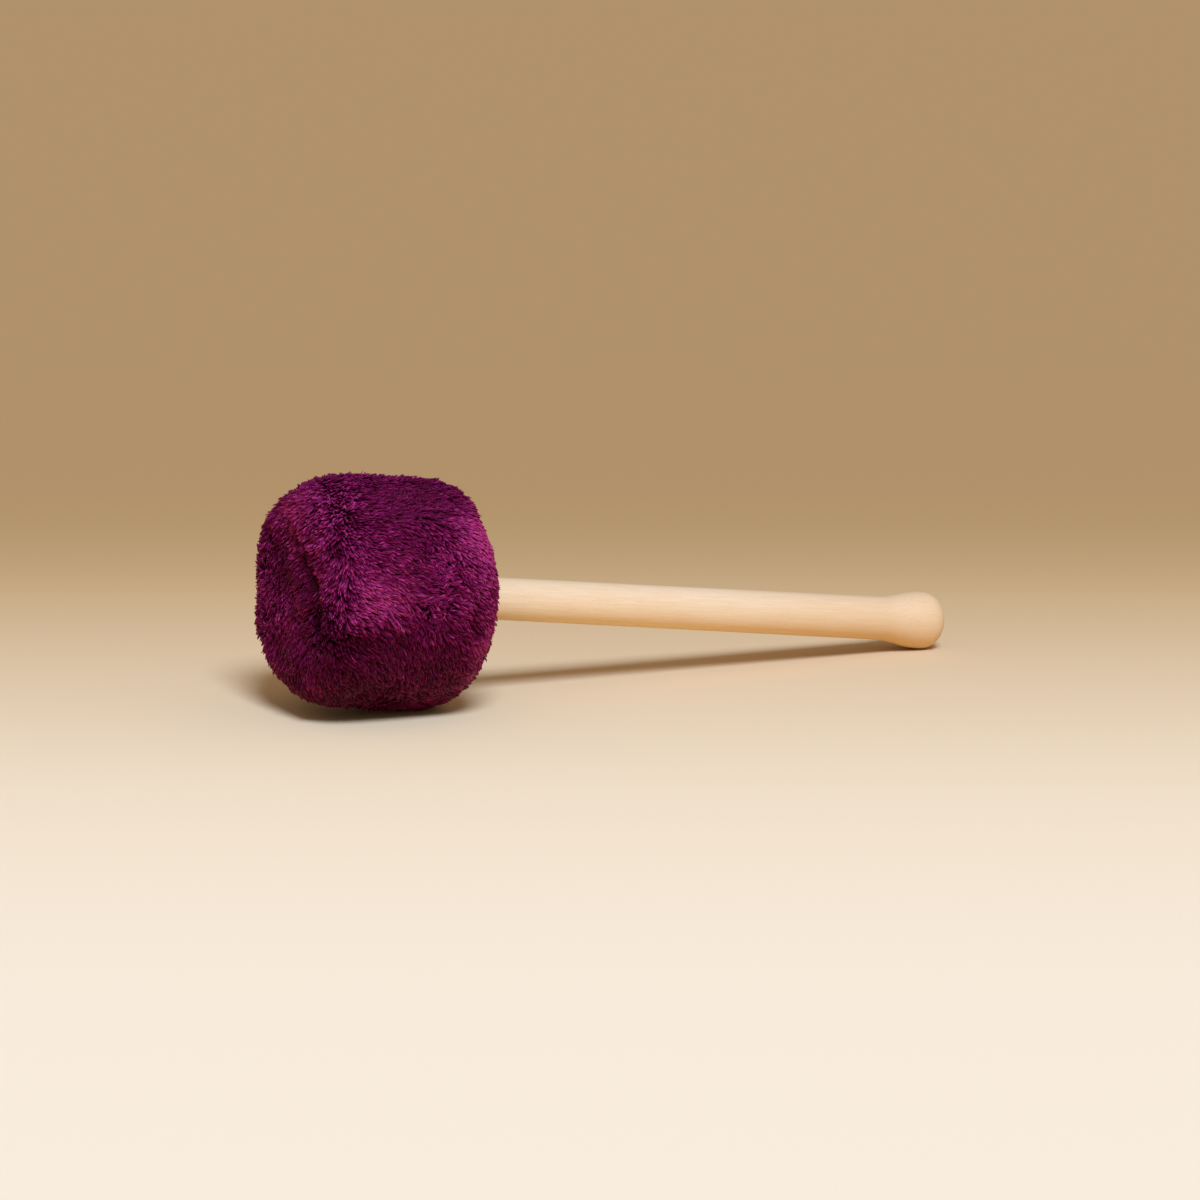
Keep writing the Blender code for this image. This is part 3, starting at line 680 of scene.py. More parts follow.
@dataclass
class HeadShape:
    """The outline that the whole head is turned from, and the sewn cover's true surface over it."""

    radius: float = 0.0684
    front_length: float = 0.0578  # from the middle to the striking face
    rear_length: float = 0.0574
    front_squareness: float = 4.65  # 2 is an ellipse, more is squarer
    rear_squareness: float = 4.26
    rear_swell: float = 0.27  # the share by which the radius grows for each metre towards the rear
    front_seam: float = 0.12639  # a place t on the outline, as are the next two
    rear_seam: float = 1.69861
    neck: float = 1.97807
    neck_radius: float = 0.0128
    panels: tuple[str, ...] = ("cover_front_panel", "cover_side_panel", "cover_rear_panel")
    tree: BVHTree | None = field(default=None, repr=False)

    def outline(self, t: np.ndarray, inset: float = 0.0) -> tuple[np.ndarray, np.ndarray]:
        """Finds points of the outline.

        Args:
            t: Places on it, from 0 at the striking face's middle over 1 at the fullest to 2 at the rear.
            inset: How far inside the outline to stay.

        Returns:
            The points' x and radius, in the axis's own frame.
        """
        t = np.asarray(t, float)
        front = t <= 1
        angle = np.where(front, t, 2 - t) * math.pi / 2
        power = 2 / np.where(front, self.front_squareness, self.rear_squareness)
        length = np.where(front, inset - self.front_length, self.rear_length - inset)
        x = length * np.cos(angle).clip(0) ** power
        radius = (self.radius - inset) * np.sin(angle).clip(0) ** power
        return x, radius * (1 + self.rear_swell * x)

    def out(self, t: np.ndarray) -> tuple[np.ndarray, np.ndarray]:
        """Returns the x and the radial part of the outline's outward direction at t."""
        step = 1e-4
        t = np.clip(np.asarray(t, float), step, 2 - step)
        x0, r0 = self.outline(t - step)
        x1, r1 = self.outline(t + step)
        size = np.hypot(x1 - x0, r1 - r0).clip(TINY)
        return -(r1 - r0) / size, (x1 - x0) / size

    def point(self, t: np.ndarray, angle: np.ndarray, lift: float = 0.0) -> np.ndarray:
        """Returns points at these places on the outline and round the axis, this far outside it."""
        x, radius = self.outline(t)
        out_x, out_r = self.out(t)
        x, radius = x + lift * out_x, radius + lift * out_r
        return AXIS.places(np.stack([x, radius * np.sin(angle), -radius * np.cos(angle)], axis=-1))

    def outward(self, t: np.ndarray, angle: np.ndarray) -> np.ndarray:
        """Returns the turned outline's outward directions at these places."""
        out_x, out_r = self.out(t)
        return AXIS.rotated(np.stack([out_x, out_r * np.sin(angle), -out_r * np.cos(angle)], axis=-1))

    def along(self, t: np.ndarray, angle: np.ndarray) -> np.ndarray:
        """Returns the directions in which t grows at these places."""
        out_x, out_r = self.out(t)
        return AXIS.rotated(np.stack([out_r, -out_x * np.sin(angle), out_x * np.cos(angle)], axis=-1))

    def on_cover(self, points: np.ndarray) -> tuple[np.ndarray, np.ndarray]:
        """Finds the nearest spots on the cover's outside.

        Args:
            points: Points a little outside the cover.

        Returns:
            The spots and the outward directions there.
        """
        if self.tree is None:
            corners, faces = [], []
            for name in self.panels:
                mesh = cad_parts[name].data
                start = len(corners)
                corners += [vertex.co.copy() for vertex in mesh.vertices]
                faces += [[start + i for i in polygon.vertices] for polygon in mesh.polygons]
            self.tree = BVHTree.FromPolygons(corners, faces)
        found = [self.tree.find_nearest(Vector(point)) for point in points]
        return np.array([spot for spot, *_ in found]), np.array([normal for _, normal, *_ in found])


HEAD = HeadShape()


@dataclass(frozen=True)
class Waves:
    """A smooth, repeatable unevenness over space: the sum of waves that run all ways."""

    length: float
    seed: int
    height: float = 1.0
    count: int = 16
    paces: tuple[float, float] = (0.6, 1.4)  # the fewest and the most waves to a length
    peak: float = 1.6  # what their sum seldom passes

    def at(self, points: np.ndarray) -> np.ndarray:
        """Returns values of about -height to height at these points."""
        rng = np.random.default_rng(self.seed)
        pace = unit(rng.normal(size=(self.count, 3))) * math.tau / self.length
        pace *= rng.uniform(*self.paces, (self.count, 1))
        start = rng.uniform(0, math.tau, self.count)
        return self.height * (np.sin(points @ pace.T + start).sum(axis=1) * math.sqrt(2 / self.count) / self.peak)

    def ways(self, points: np.ndarray) -> np.ndarray:
        """Returns vectors at these points, whose three parts come from this seed and the next two."""
        parts = [Waves(self.length, self.seed + k, self.height) for k in range(3)]
        return np.stack([part.at(points) for part in parts], axis=-1)


@dataclass
class Lie:
    """How the locks lie before they are grown: in each array one value or vector for each lock."""

    spots: np.ndarray  # on the cover's outside
    flow: np.ndarray  # the way in which they are combed
    lift: np.ndarray  # how far the cover bulges under them
    lean: np.ndarray  # how much flatter than usual they lie
    shade: np.ndarray  # the locks' tone, with painted light and shade in it: 0 is dark, 1 is bright
    parted: np.ndarray  # how much they stick together, with gaps between
    combed: np.ndarray  # how even they are


@dataclass(frozen=True)
class Stroke:
    """A place where a hand has brushed the pile. It also lays painted light and shade on the locks that it reaches."""

    t: float  # on the head's outline
    degrees: float  # round the axis, from straight down towards the back
    right: float  # the way that the tips point, as the camera sees it
    down: float
    reach: float  # where its strength has fallen to 0.37
    lean: float = 0.0  # degrees flatter than elsewhere
    shade: float = 0.0  # painted light where above 0, painted shade where below
    parted: float = 0.0  # how much more the locks stick together, with gaps between
    swell_mm: float = 0.0  # how far the cover bulges there
    force: float = 2.2  # how strongly it combs, where the pile's own fall counts 0.5
    even_lean: float = 10  # how many degrees flatter a lock lies when it is well combed

    def brush(self, lie: Lie) -> None:
        """Combs and tilts the locks that the stroke reaches, and lays painted light and shade on them.

        Args:
            lie: How the locks lie. It is changed.
        """
        heart = HEAD.point(np.array([self.t]), np.radians([self.degrees]))[0]
        weight = bell(np.linalg.norm(lie.spots - heart, axis=1) / self.reach)
        lie.flow += self.force * weight[:, None] * (self.right * STUDIO.right() + self.down * DOWN)
        lie.lift += MILLIMETRE * self.swell_mm * weight
        lie.lean += weight * math.radians(self.lean)
        lie.shade += weight * self.shade
        lie.parted += weight * self.parted
        lie.combed += weight * self.lean / self.even_lean


STROKES = (
    # The bright combed patch on the side, a painted highlight, and the ruffled edge under it, darkened with painted
    # shade.
    Stroke(0.65, -97, 1.0, 0.45, 0.018, 14, 0.36, 0.0, 0.9),
    Stroke(0.82, -94, 1.0, 0.45, 0.013, 6, 0.30),
    Stroke(0.97, -104, 1.0, 0.45, 0.016, 8, 0.10),
    Stroke(0.35, -98, -0.5, 0.4, 0.007, -6, -0.24, 0.20),
    Stroke(0.55, -124, 0.7, 0.5, 0.009, 4, 0.24),
    Stroke(0.32, -77, 0.4, 0.5, 0.008, -18, 0.10, 0.38, 1.5),
    Stroke(0.58, -82, 0.5, 0.5, 0.008, -14, 0.16, 0.34, 1.5),
    Stroke(0.92, -84, 0.5, 0.5, 0.008, -14, 0.04, 0.26, 1.4),
    Stroke(0.25, -63, 0.3, 0.6, 0.008, -12, -0.40, 0.30, -1.7),
    Stroke(0.52, -68, 0.3, 0.6, 0.008, -10, -0.44, 0.26, -1.8),
    Stroke(0.72, -71, 0.3, 0.6, 0.008, -6, -0.50, 0.10, -1.8),
    Stroke(0.86, -75, 0.3, 0.7, 0.008, -6, -0.36, 0.20, -0.6),
    Stroke(0.98, -75, 0.3, 0.7, 0.009, -6, -0.52, 0.20, -1.3),
    Stroke(1.16, -84, 0.3, 0.8, 0.009, -6, -0.30, 0.12, -1.2),
    # The smooth crown, darkened with painted shade, and its shoulders, brightened with painted highlights.
    Stroke(1.00, -162, 0.9, 0.2, 0.026, 8, -0.26),
    Stroke(0.87, -131, 1.2, 0.5, 0.024, 2, -0.06),
    Stroke(0.46, -150, -0.2, 0.9, 0.013, -14, 0.14, 0.22),
    Stroke(0.25, 166, -0.9, 0.5, 0.014, -10, 0.28),
    Stroke(0.08, 178, -0.8, 0.5, 0.010, 0, 0.14),
    Stroke(1.37, -138, 0.8, 0.9, 0.016, 10, 0.66),
    Stroke(1.17, -129, 0.8, 0.9, 0.017, 6, 0.46),
    Stroke(1.38, -82, 0.6, 0.6, 0.015, 4, 0.32),
    Stroke(0.58, 174, -0.4, 0.6, 0.010, 6, 0.24),
    Stroke(0.84, -172, 0.6, 0.4, 0.009, 4, 0.16),
    Stroke(0.62, -149, -0.3, -1.6, 0.0062, 8, 0.42, 0.20),
    # The striking face, with painted shade over its middle and in its folds, and the locks that hang over its seam.
    Stroke(0.03, 160, -0.2, 0.9, 0.016, -12, -0.26, 0.30, -0.5),
    Stroke(0.04, -108, -0.2, 1.0, 0.012, -6, -0.56, 0.20),
    Stroke(0.11, 160, -0.2, 1.0, 0.012, -6, -0.26, 0.20),
    Stroke(0.09, -150, -0.2, 1.0, 0.010, -6, -0.20, 0.20),
    Stroke(0.12, 130, -0.2, 1.0, 0.0045, -8, -0.50, 0.30, -2.2),
    Stroke(0.10, -172, -0.2, 1.0, 0.0045, -8, -0.50, 0.30, -2.4),
    Stroke(0.06, 146, -0.2, 1.0, 0.0040, -8, -0.45, 0.30, -2.0),
    Stroke(0.03, -167, -0.3, 1.0, 0.006, -12, -0.10, 0.32, 1.2),
    Stroke(0.06, -80, -0.3, 1.0, 0.006, -12, -0.10, 0.32, 1.1),
    Stroke(0.24, -98, -0.9, 0.3, 0.011, -24, 0.04, 0.25),
    Stroke(0.22, -146, -0.9, 0.6, 0.014, -22, 0.16, 0.25),
    Stroke(0.12, 8, 0.1, 1.0, 0.022, 8, -0.04),
    Stroke(0.56, -14, 0.1, 0.9, 0.022, 4, -0.10, 0.0, 2.8),
    Stroke(0.38, -3, -0.8, 0.7, 0.018, 8, 0.00),
    # The quiet lower half, darkened with painted shade, and the nubby rear, with painted highlights at the lower left
    # and on the right edge.
    Stroke(0.78, -31, 0.1, 0.9, 0.036, 4, -0.66),
    Stroke(1.22, -37, 0.7, 0.8, 0.024, 6, -0.40),
    Stroke(1.05, -62, 0.4, 0.8, 0.017, 4, -0.46),
    Stroke(1.36, -48, 0.6, 0.7, 0.012, 4, 0.50),
    Stroke(1.26, -70, 0.6, 0.7, 0.011, 4, 0.34),
    Stroke(0.64, -14, 0.1, 0.9, 0.008, 4, -0.24),
    Stroke(0.47, -29, -0.5, 0.8, 0.013, 6, 0.44),
    Stroke(1.23, -105, 0.6, 0.6, 0.020, -12, 0.22, 0.22),
)


@dataclass(frozen=True)
class Furrow:
    """The step at the front seam: the thread draws the front panel in, and the fuller side band hangs over it. Just
    inside the step the locks carry painted shade.
    """

    radius: float = 0.0375  # from the axis, at the angle below
    degrees: float = -90
    drift: float = 0.000165  # how much farther out it lies for each degree
    wander: Waves = Waves(0.018, 41, 0.0016)  # how far it strays from that line
    last_t: float = 0.6  # it lies in front of this place on the head's outline
    last_x: float = -0.045  # and in front of this place along the axis
    spread: float = 58  # degrees round the axis over which it fades
    strength: float = 0.75
    gaps: Waves = Waves(0.011, 42, 0.40)  # where it shows more or less
    weakest: float = 0.15
    breadth: float = 0.0042  # the reaches below are counted in it, from the step's middle inwards and outwards
    sink: float = 0.0038  # how far the front panel lies back beside it
    sink_reach: tuple[float, float] = (2.0, 0.25)
    roll: float = 0.0026  # how far the side band's edge stands out
    roll_reach: float = 2.2
    # Painted shade that darkens the locks just inside the step.
    shade: float = -0.75
    darkest: float = -0.8  # where the painted shade is deepest, just inside the step
    shade_reach: tuple[float, float] = (1.6, 0.8)
    shade_share: float = 0.7
    ridge_share: float = 0.9  # how much less painted shade a ridge has
    shade_range: tuple[float, float] = (0.1, 1.2)
    hang: float = 1.0  # how strongly the band's locks hang over it
    hang_reach: float = 1.1
    hang_parted: float = 0.30
    hang_lean: float = math.radians(26)  # how much steeper they stand
    hang_shorter: float = 0.42

    def off(self, angle: np.ndarray) -> np.ndarray:
        """Returns how many degrees round the axis each spot is from the step's middle."""
        return (np.degrees(angle) - self.degrees + 180) % 360 - 180

    def past(self, radius: np.ndarray, angle: np.ndarray, spots: np.ndarray) -> np.ndarray:
        """Returns how far outside the step each spot is, where 1 is its breadth."""
        here = self.radius + self.drift * self.off(angle) + self.wander.at(spots)
        return (radius - here) / self.breadth

    def fade(self, angle: np.ndarray, spots: np.ndarray) -> np.ndarray:
        """Returns how strongly the step shows at each angle, from 0 to 1."""
        return bell(self.off(angle) / self.spread) * (self.strength + self.gaps.at(spots)).clip(self.weakest, 1)

    def lift(self, radius: np.ndarray, angle: np.ndarray, spots: np.ndarray) -> np.ndarray:
        """Returns how far the cover lies out, or back, at each spot."""
        past = self.past(radius, angle, spots)
        back = bell(past / np.where(past < 0, *self.sink_reach))
        out = np.where(past > 0, (1 - back) * bell(past / self.roll_reach), 0)
        return (self.roll * out - self.sink * back) * self.fade(angle, spots)

    def shading(self, past: np.ndarray, fade: np.ndarray, ridges: np.ndarray) -> np.ndarray:
        """Returns the painted shade at each spot, as how much lighter the locks are, which is less than nothing near
        the step.
        """
        valleys = (self.shade_share - self.ridge_share * ridges).clip(*self.shade_range)
        reach = np.where(past < self.darkest, *self.shade_reach)
        return self.shade * (fade * valleys * bell((past - self.darkest) / reach))


FURROW = Furrow()
FAR = 1.0  # a radius that is nowhere near the furrow


@dataclass
class Locks:
    """The grown locks: in each array one value, point or direction for each lock."""

    t: np.ndarray  # its place on the head's outline
    angle: np.ndarray  # and round the axis
    root: np.ndarray
    out: np.ndarray
    comb: np.ndarray  # the way in which it leans
    side: np.ndarray
    length: np.ndarray
    width: np.ndarray
    root_lean: np.ndarray
    tip_lean: np.ndarray
    curl: np.ndarray
    roll: np.ndarray  # how far it is turned round its own length
    # Its tone, with painted light and shade in it, which the map passes to the colour.
    shade: np.ndarray
    clump: np.ndarray  # the number of its clump
    parted: np.ndarray


@dataclass
class Pile:
    """The plush's pile: locks of fibre, rooted in the backing cloth and combed over it."""

    locks: int = 110_000
    seed: int = 11
    depth: float = 0.0053  # of the backing cloth below the cover's outside
    lowest: float = 0.00015  # the pressed locks' height over the table
    tip_rise: float = 0.0004  # how much higher their tips lie
    side_sectors: int = 9  # the side band's pieces
    samples: int = 4000  # of the outline, to spread the roots

    # One lock. Lengths named stray are how far single locks differ.
    length: float = 0.0088
    length_stray: float = 0.07  # as a share
    length_range: tuple[float, float] = (0.5, 1.25)
    width: float = 0.00042  # half its thickness
    width_stray: float = 0.15
    width_range: tuple[float, float] = (0.6, 1.4)
    levels: tuple[float, float] = (0.48, 0.83)  # where it bends
    thickness: tuple[float, ...] = (0.8, 1.0, 0.86, 0.0)  # at the root, at those levels and at the tip
    root_lean: float = math.radians(33)  # 0 stands up from the cover
    root_lean_stray: float = 0.07
    root_share: float = 0.5  # how much of a stroke's lean reaches the root
    tip_lean: float = math.radians(75)
    tip_lean_stray: float = 0.11
    curl: Waves = Waves(0.008, 23, 0.0009)
    curl_stray: float = 0.0002
    bends: float = 1.5  # half waves of the curl from root to tip
    root_stray: float = 0.00022

    # Clumps
    clump: int = 4  # locks in a small clump
    clump_seed: int = 20
    gather: float = 0.78  # how far a lock's tip moves towards its small clump's
    tussock: int = 22  # locks in a large clump
    tussock_seed: int = 21
    tussock_gather: float = 0.20
    most_gather: float = 0.92
    gather_bend: float = 1.4  # above 1, the tip moves more than the middle
    trait_seed: int = 31  # of what a small clump's locks share
    clump_lean: float = 0.13

    # The way that the pile is combed
    fall: float = 0.5  # downwards
    draught: float = 0.25  # to the right
    swirl: Waves = Waves(0.060, 12, 0.9)
    tufts: Waves = Waves(0.010, 17, 0.50)
    stray: float = 0.40
    combed_stray: float = 0.22  # how much less the well combed locks stray
    parted_stray: float = 0.8  # how much more the parted ones
    stray_range: tuple[float, float] = (0.14, 0.75)
    lock_stray: float = 0.35
    most_parted: float = 0.4

    # Ridges that run down the striking face
    ridges: Waves = Waves(0.0075, 26)
    ridge_run: tuple[float, float, float] = (1, 1, 0.28)  # the last is less, so they are longer that way
    ridge_end: float = 0.42  # on the head's outline
    ridge_fade: float = 0.04
    ridge_height: float = 0.0008
    # Painted light on the ridges and painted shade between them.
    ridge_shade: float = 0.08
    swells: Waves = Waves(0.013, 24, 0.00035)  # the cover's small bulges

    # Shade
    shade: float = 0.38
    patches: Waves = Waves(0.035, 15, 0.09)
    mottle: tuple[Waves, ...] = (Waves(0.012, 16, 0.06), Waves(0.006, 25, 0.08))
    clump_shade: float = 0.14
    lock_shade: float = 0.15
    parted_mottle: float = 1.8  # how much stronger the mottle is where the pile is parted
    shade_range: tuple[float, float] = (0.02, 0.98)

    # The locks' map, which keeps clear of its own rim and gives each face some room
    map_rise: tuple[float, float] = (0.02, 0.96)
    map_breadth: tuple[float, float] = (0.015, 0.012)
    map_turn: float = 0.4

    def lock(self) -> tuple[np.ndarray, list[list[int]]]:
        """Shapes one straight lock: a three-sided spike with rings at the levels where it will bend.

        Returns:
            Its corners, with Z from 0 at the root to 1 at the tip, and its faces as lists of corners.
        """
        bm = bmesh.new()
        bmesh.ops.create_cone(
            bm, cap_ends=True, segments=3, radius1=1, radius2=0, depth=1, matrix=Matrix.Translation((0, 0, 0.5))
        )
        for level in self.levels:
            bmesh.ops.bisect_plane(
                bm, geom=bm.verts[:] + bm.edges[:] + bm.faces[:], plane_co=(0, 0, level), plane_no=(0, 0, 1)
            )
        bmesh.ops.remove_doubles(bm, verts=bm.verts, dist=WELD)
        bmesh.ops.recalc_face_normals(bm, faces=bm.faces)
        bm.verts.index_update()
        corners = np.array([corner.co for corner in bm.verts])
        faces = [[corner.index for corner in face.verts] for face in bm.faces]
        bm.free()
        return corners, faces

    def roots(self) -> tuple[np.ndarray, np.ndarray]:
        """Spreads the roots evenly over the head.

        Returns:
            Their places t on the outline and their angles round the axis.
        """
        ts = np.linspace(0, HEAD.neck, self.samples)
        x, radius = HEAD.outline(ts)
        bands = np.hypot(np.diff(x), np.diff(radius)) * (radius[1:] + radius[:-1])
        share = np.concatenate([[0], np.cumsum(bands)])
        order = np.arange(self.locks) + 0.5
        golden = math.pi * (3 - math.sqrt(5))
        return np.interp(order / self.locks, share / share[-1], ts), (order * golden) % math.tau

    def grow(self) -> Locks:
        """Works out how each lock grows.

        Returns:
            The locks.
        """
        rng = np.random.default_rng(self.seed)
        t, angle = self.roots()
        count = len(t)
        spots, facing = HEAD.on_cover(HEAD.point(t, angle, SEARCH))
        out = unit(HEAD.outward(t, angle) + facing)
        spots = spots + np.cross(out, rng.normal(scale=self.root_stray, size=out.shape))
        clumps, clump_count = self.clumps(spots, self.clump, self.clump_seed)
        traits = np.random.default_rng(self.trait_seed).normal(size=(clump_count, 6))[clumps]
        radius = np.where(t < FURROW.last_t, HEAD.outline(t)[1], FAR)
        past = FURROW.past(radius, angle, spots)
        fade = FURROW.fade(angle, spots)
        near = fade * bell(past / FURROW.hang_reach)
        hang = np.where(past > 0, near, 0)
        face = 1 / (1 + np.exp((t - self.ridge_end) / self.ridge_fade))
        ridges = face * self.ridges.at(spots * self.ridge_run)
        lie = Lie(
            spots=spots,
            flow=self.fall * DOWN + self.draught * STUDIO.right() + self.swirl.ways(spots),
            lift=self.swells.at(spots) + self.ridge_height * ridges + (FURROW.lift(radius, angle, spots) - self.depth),
            lean=self.clump_lean * traits[:, 0],
            # The tone starts with painted light on the striking face's ridges and painted shade beside the step.
            shade=(
                self.shade + self.ridge_shade * ridges + self.patches.at(spots) + FURROW.shading(past, fade, ridges)
            ),
            parted=FURROW.hang_parted * hang,
            combed=np.zeros(count),
        )
        mottle = sum(waves.at(spots) for waves in self.mottle)
        mottle += self.clump_shade * traits[:, 1] + rng.normal(scale=self.lock_shade, size=count)
        for stroke in STROKES:
            stroke.brush(lie)
        lie.flow += self.tufts.ways(spots)
        lie.flow -= FURROW.hang * near[:, None] * HEAD.along(t, angle)
        lie.lean -= FURROW.hang_lean * hang
        stray = (self.stray - self.combed_stray * lie.combed + self.parted_stray * lie.parted).clip(*self.stray_range)
        lie.flow += stray[:, None] * (traits[:, 2:5] + rng.normal(scale=self.lock_stray, size=out.shape))
        comb = unit(lie.flow - (lie.flow * out).sum(axis=1, keepdims=True) * out)
        parted = lie.parted.clip(0, self.most_parted)
        share = rng.normal(1.0, self.length_stray, count) + self.length_stray * traits[:, 5]
        return Locks(
            t=t,
            angle=angle,
            root=spots + lie.lift[:, None] * out,
            out=out,
            comb=comb,
            side=np.cross(out, comb),
            length=self.length * (share - FURROW.hang_shorter * near).clip(*self.length_range),
            width=self.width * rng.normal(1.0, self.width_stray, count).clip(*self.width_range),
            root_lean=self.root_lean + lie.lean * self.root_share + rng.normal(scale=self.root_lean_stray, size=count),
            tip_lean=self.tip_lean + lie.lean + rng.normal(scale=self.tip_lean_stray, size=count),
            curl=self.curl.at(spots) + rng.normal(scale=self.curl_stray, size=count),
            roll=rng.uniform(0, math.tau, count),
            shade=(lie.shade + (1.0 + self.parted_mottle * parted) * mottle).clip(*self.shade_range),
            clump=clumps,
            parted=parted,
        )

    def clumps(self, roots: np.ndarray, size: int, seed: int) -> tuple[np.ndarray, int]:
        """Sorts the locks into clumps.

        Args:
            roots: The locks' roots.
            size: How many locks a clump has on average.
            seed: What picks the clumps' middles.

        Returns:
            Each lock's clump, and the number of clumps.
        """
        hearts = np.random.default_rng(seed).permutation(len(roots))[: len(roots) // size]
        tree = KDTree(len(hearts))
        for i, heart in enumerate(hearts):
            tree.insert(roots[heart], i)
        tree.balance()
        return np.array([tree.find(root)[1] for root in roots]), len(hearts)

    def spine(self, locks: Locks, level: float) -> tuple[np.ndarray, np.ndarray]:
        """Finds the middle of each lock at a level from root to tip.

        Args:
            locks: The locks.
            level: 0 at the root, 1 at the tip.

        Returns:
            The points, and the ways in which the locks run there.
        """
        bend = locks.tip_lean - locks.root_lean
        here = locks.root_lean + bend * level
        rise = locks.length / bend * (np.sin(here) - np.sin(locks.root_lean))
        run = locks.length / bend * (np.cos(locks.root_lean) - np.cos(here))
        sway = locks.curl * math.sin(math.pi * self.bends * level)
        place = locks.root + rise[:, None] * locks.out + run[:, None] * locks.comb + sway[:, None] * locks.side
        return place, np.cos(here)[:, None] * locks.out + np.sin(here)[:, None] * locks.comb

    def gathered(self, locks: Locks) -> np.ndarray:
        """Returns how far each lock's tip moves towards the middles of its clumps' tips."""
        tips = self.spine(locks, 1.0)[0]
        start = tips.copy()
        tussocks, _ = self.clumps(locks.root, self.tussock, self.tussock_seed)
        pulls = ((tussocks, self.tussock_gather + locks.parted), (locks.clump, self.gather + locks.parted))
        for clump, gather in pulls:
            count = np.bincount(clump).clip(1)
            middle = np.stack([np.bincount(clump, weights=tips[:, k]) / count for k in range(3)], axis=-1)
            tips += gather.clip(0, self.most_gather)[:, None] * (middle[clump] - tips)
        return tips - start

    def meshes(self) -> dict[str, tuple[np.ndarray, np.ndarray]]:
        """Shapes all the locks.

        Returns:
            For each part of the head its locks' corners and their map's points.
        """
        template, _ = self.lock()
        locks = self.grow()
        pull = self.gathered(locks)
        levels = template[:, 2]
        turns = np.arctan2(template[:, 1], template[:, 0])
        thickness = np.interp(levels, (0, *self.levels, 1), self.thickness)
        corners = np.empty((self.locks, len(template), 3))
        for k, level in enumerate(levels):
            place, way = self.spine(locks, level)
            across = np.cross(way, locks.side)
            spin = locks.roll + turns[k]
            ring = np.cos(spin)[:, None] * locks.side + np.sin(spin)[:, None] * across
            corners[:, k] = place + pull * level**self.gather_bend + (thickness[k] * locks.width)[:, None] * ring
        corners[:, :, 2] = np.maximum(corners[:, :, 2], self.lowest + self.tip_rise * levels)
        low, height = self.map_rise
        breadth, depth = self.map_breadth
        spots = np.empty((self.locks, len(template), 2))
        spots[:, :, 0] = locks.shade[:, None] + breadth * np.cos(turns + self.map_turn)
        spots[:, :, 1] = low + height * levels + depth * np.sin(turns)
        front, rear = locks.t < HEAD.front_seam, locks.t > HEAD.rear_seam
        sector = (locks.angle / math.tau * self.side_sectors).astype(int)
        groups = {"front_pile": front, "rear_pile": rear}
        for k in range(self.side_sectors):
            groups[f"side_pile_{k + 1}"] = ~front & ~rear & (sector == k)
        return {name: (corners[mask], spots[mask]) for name, mask in groups.items()}

    def build(self, plush: bpy.types.Material) -> None:
        """Makes the pile, part by part.

        Args:
            plush: The locks' material.
        """
        _, faces = self.lock()
        loops = np.concatenate(faces)
        starts = np.cumsum([0] + [len(face) for face in faces[:-1]])
        for name, (corners, spots) in self.meshes().items():
            count, each = corners.shape[:2]
            loop_corners = np.tile(loops, count) + np.repeat(np.arange(count) * each, len(loops))
            face_starts = np.tile(starts, count) + np.repeat(np.arange(count) * len(loops), len(faces))
            mesh = bpy.data.meshes.new(name)
            mesh.vertices.add(count * each)
            mesh.vertices.foreach_set("co", corners.reshape(-1))
            mesh.loops.add(len(loop_corners))
            mesh.loops.foreach_set("vertex_index", loop_corners)
            mesh.polygons.add(len(face_starts))
            mesh.polygons.foreach_set("loop_start", face_starts)
            mesh.update(calc_edges=True)
            layer = mesh.uv_layers.new(name=LOCK_MAP)
            layer.uv.foreach_set("vector", spots.reshape(-1, 2)[loop_corners].reshape(-1))
            mesh.materials.append(plush)
            mesh.shade_smooth()
            mesh.validate()
            thing = appear(name, mesh)
            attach(thing, "root")
            LOG.info("%s: %d locks", name, count)


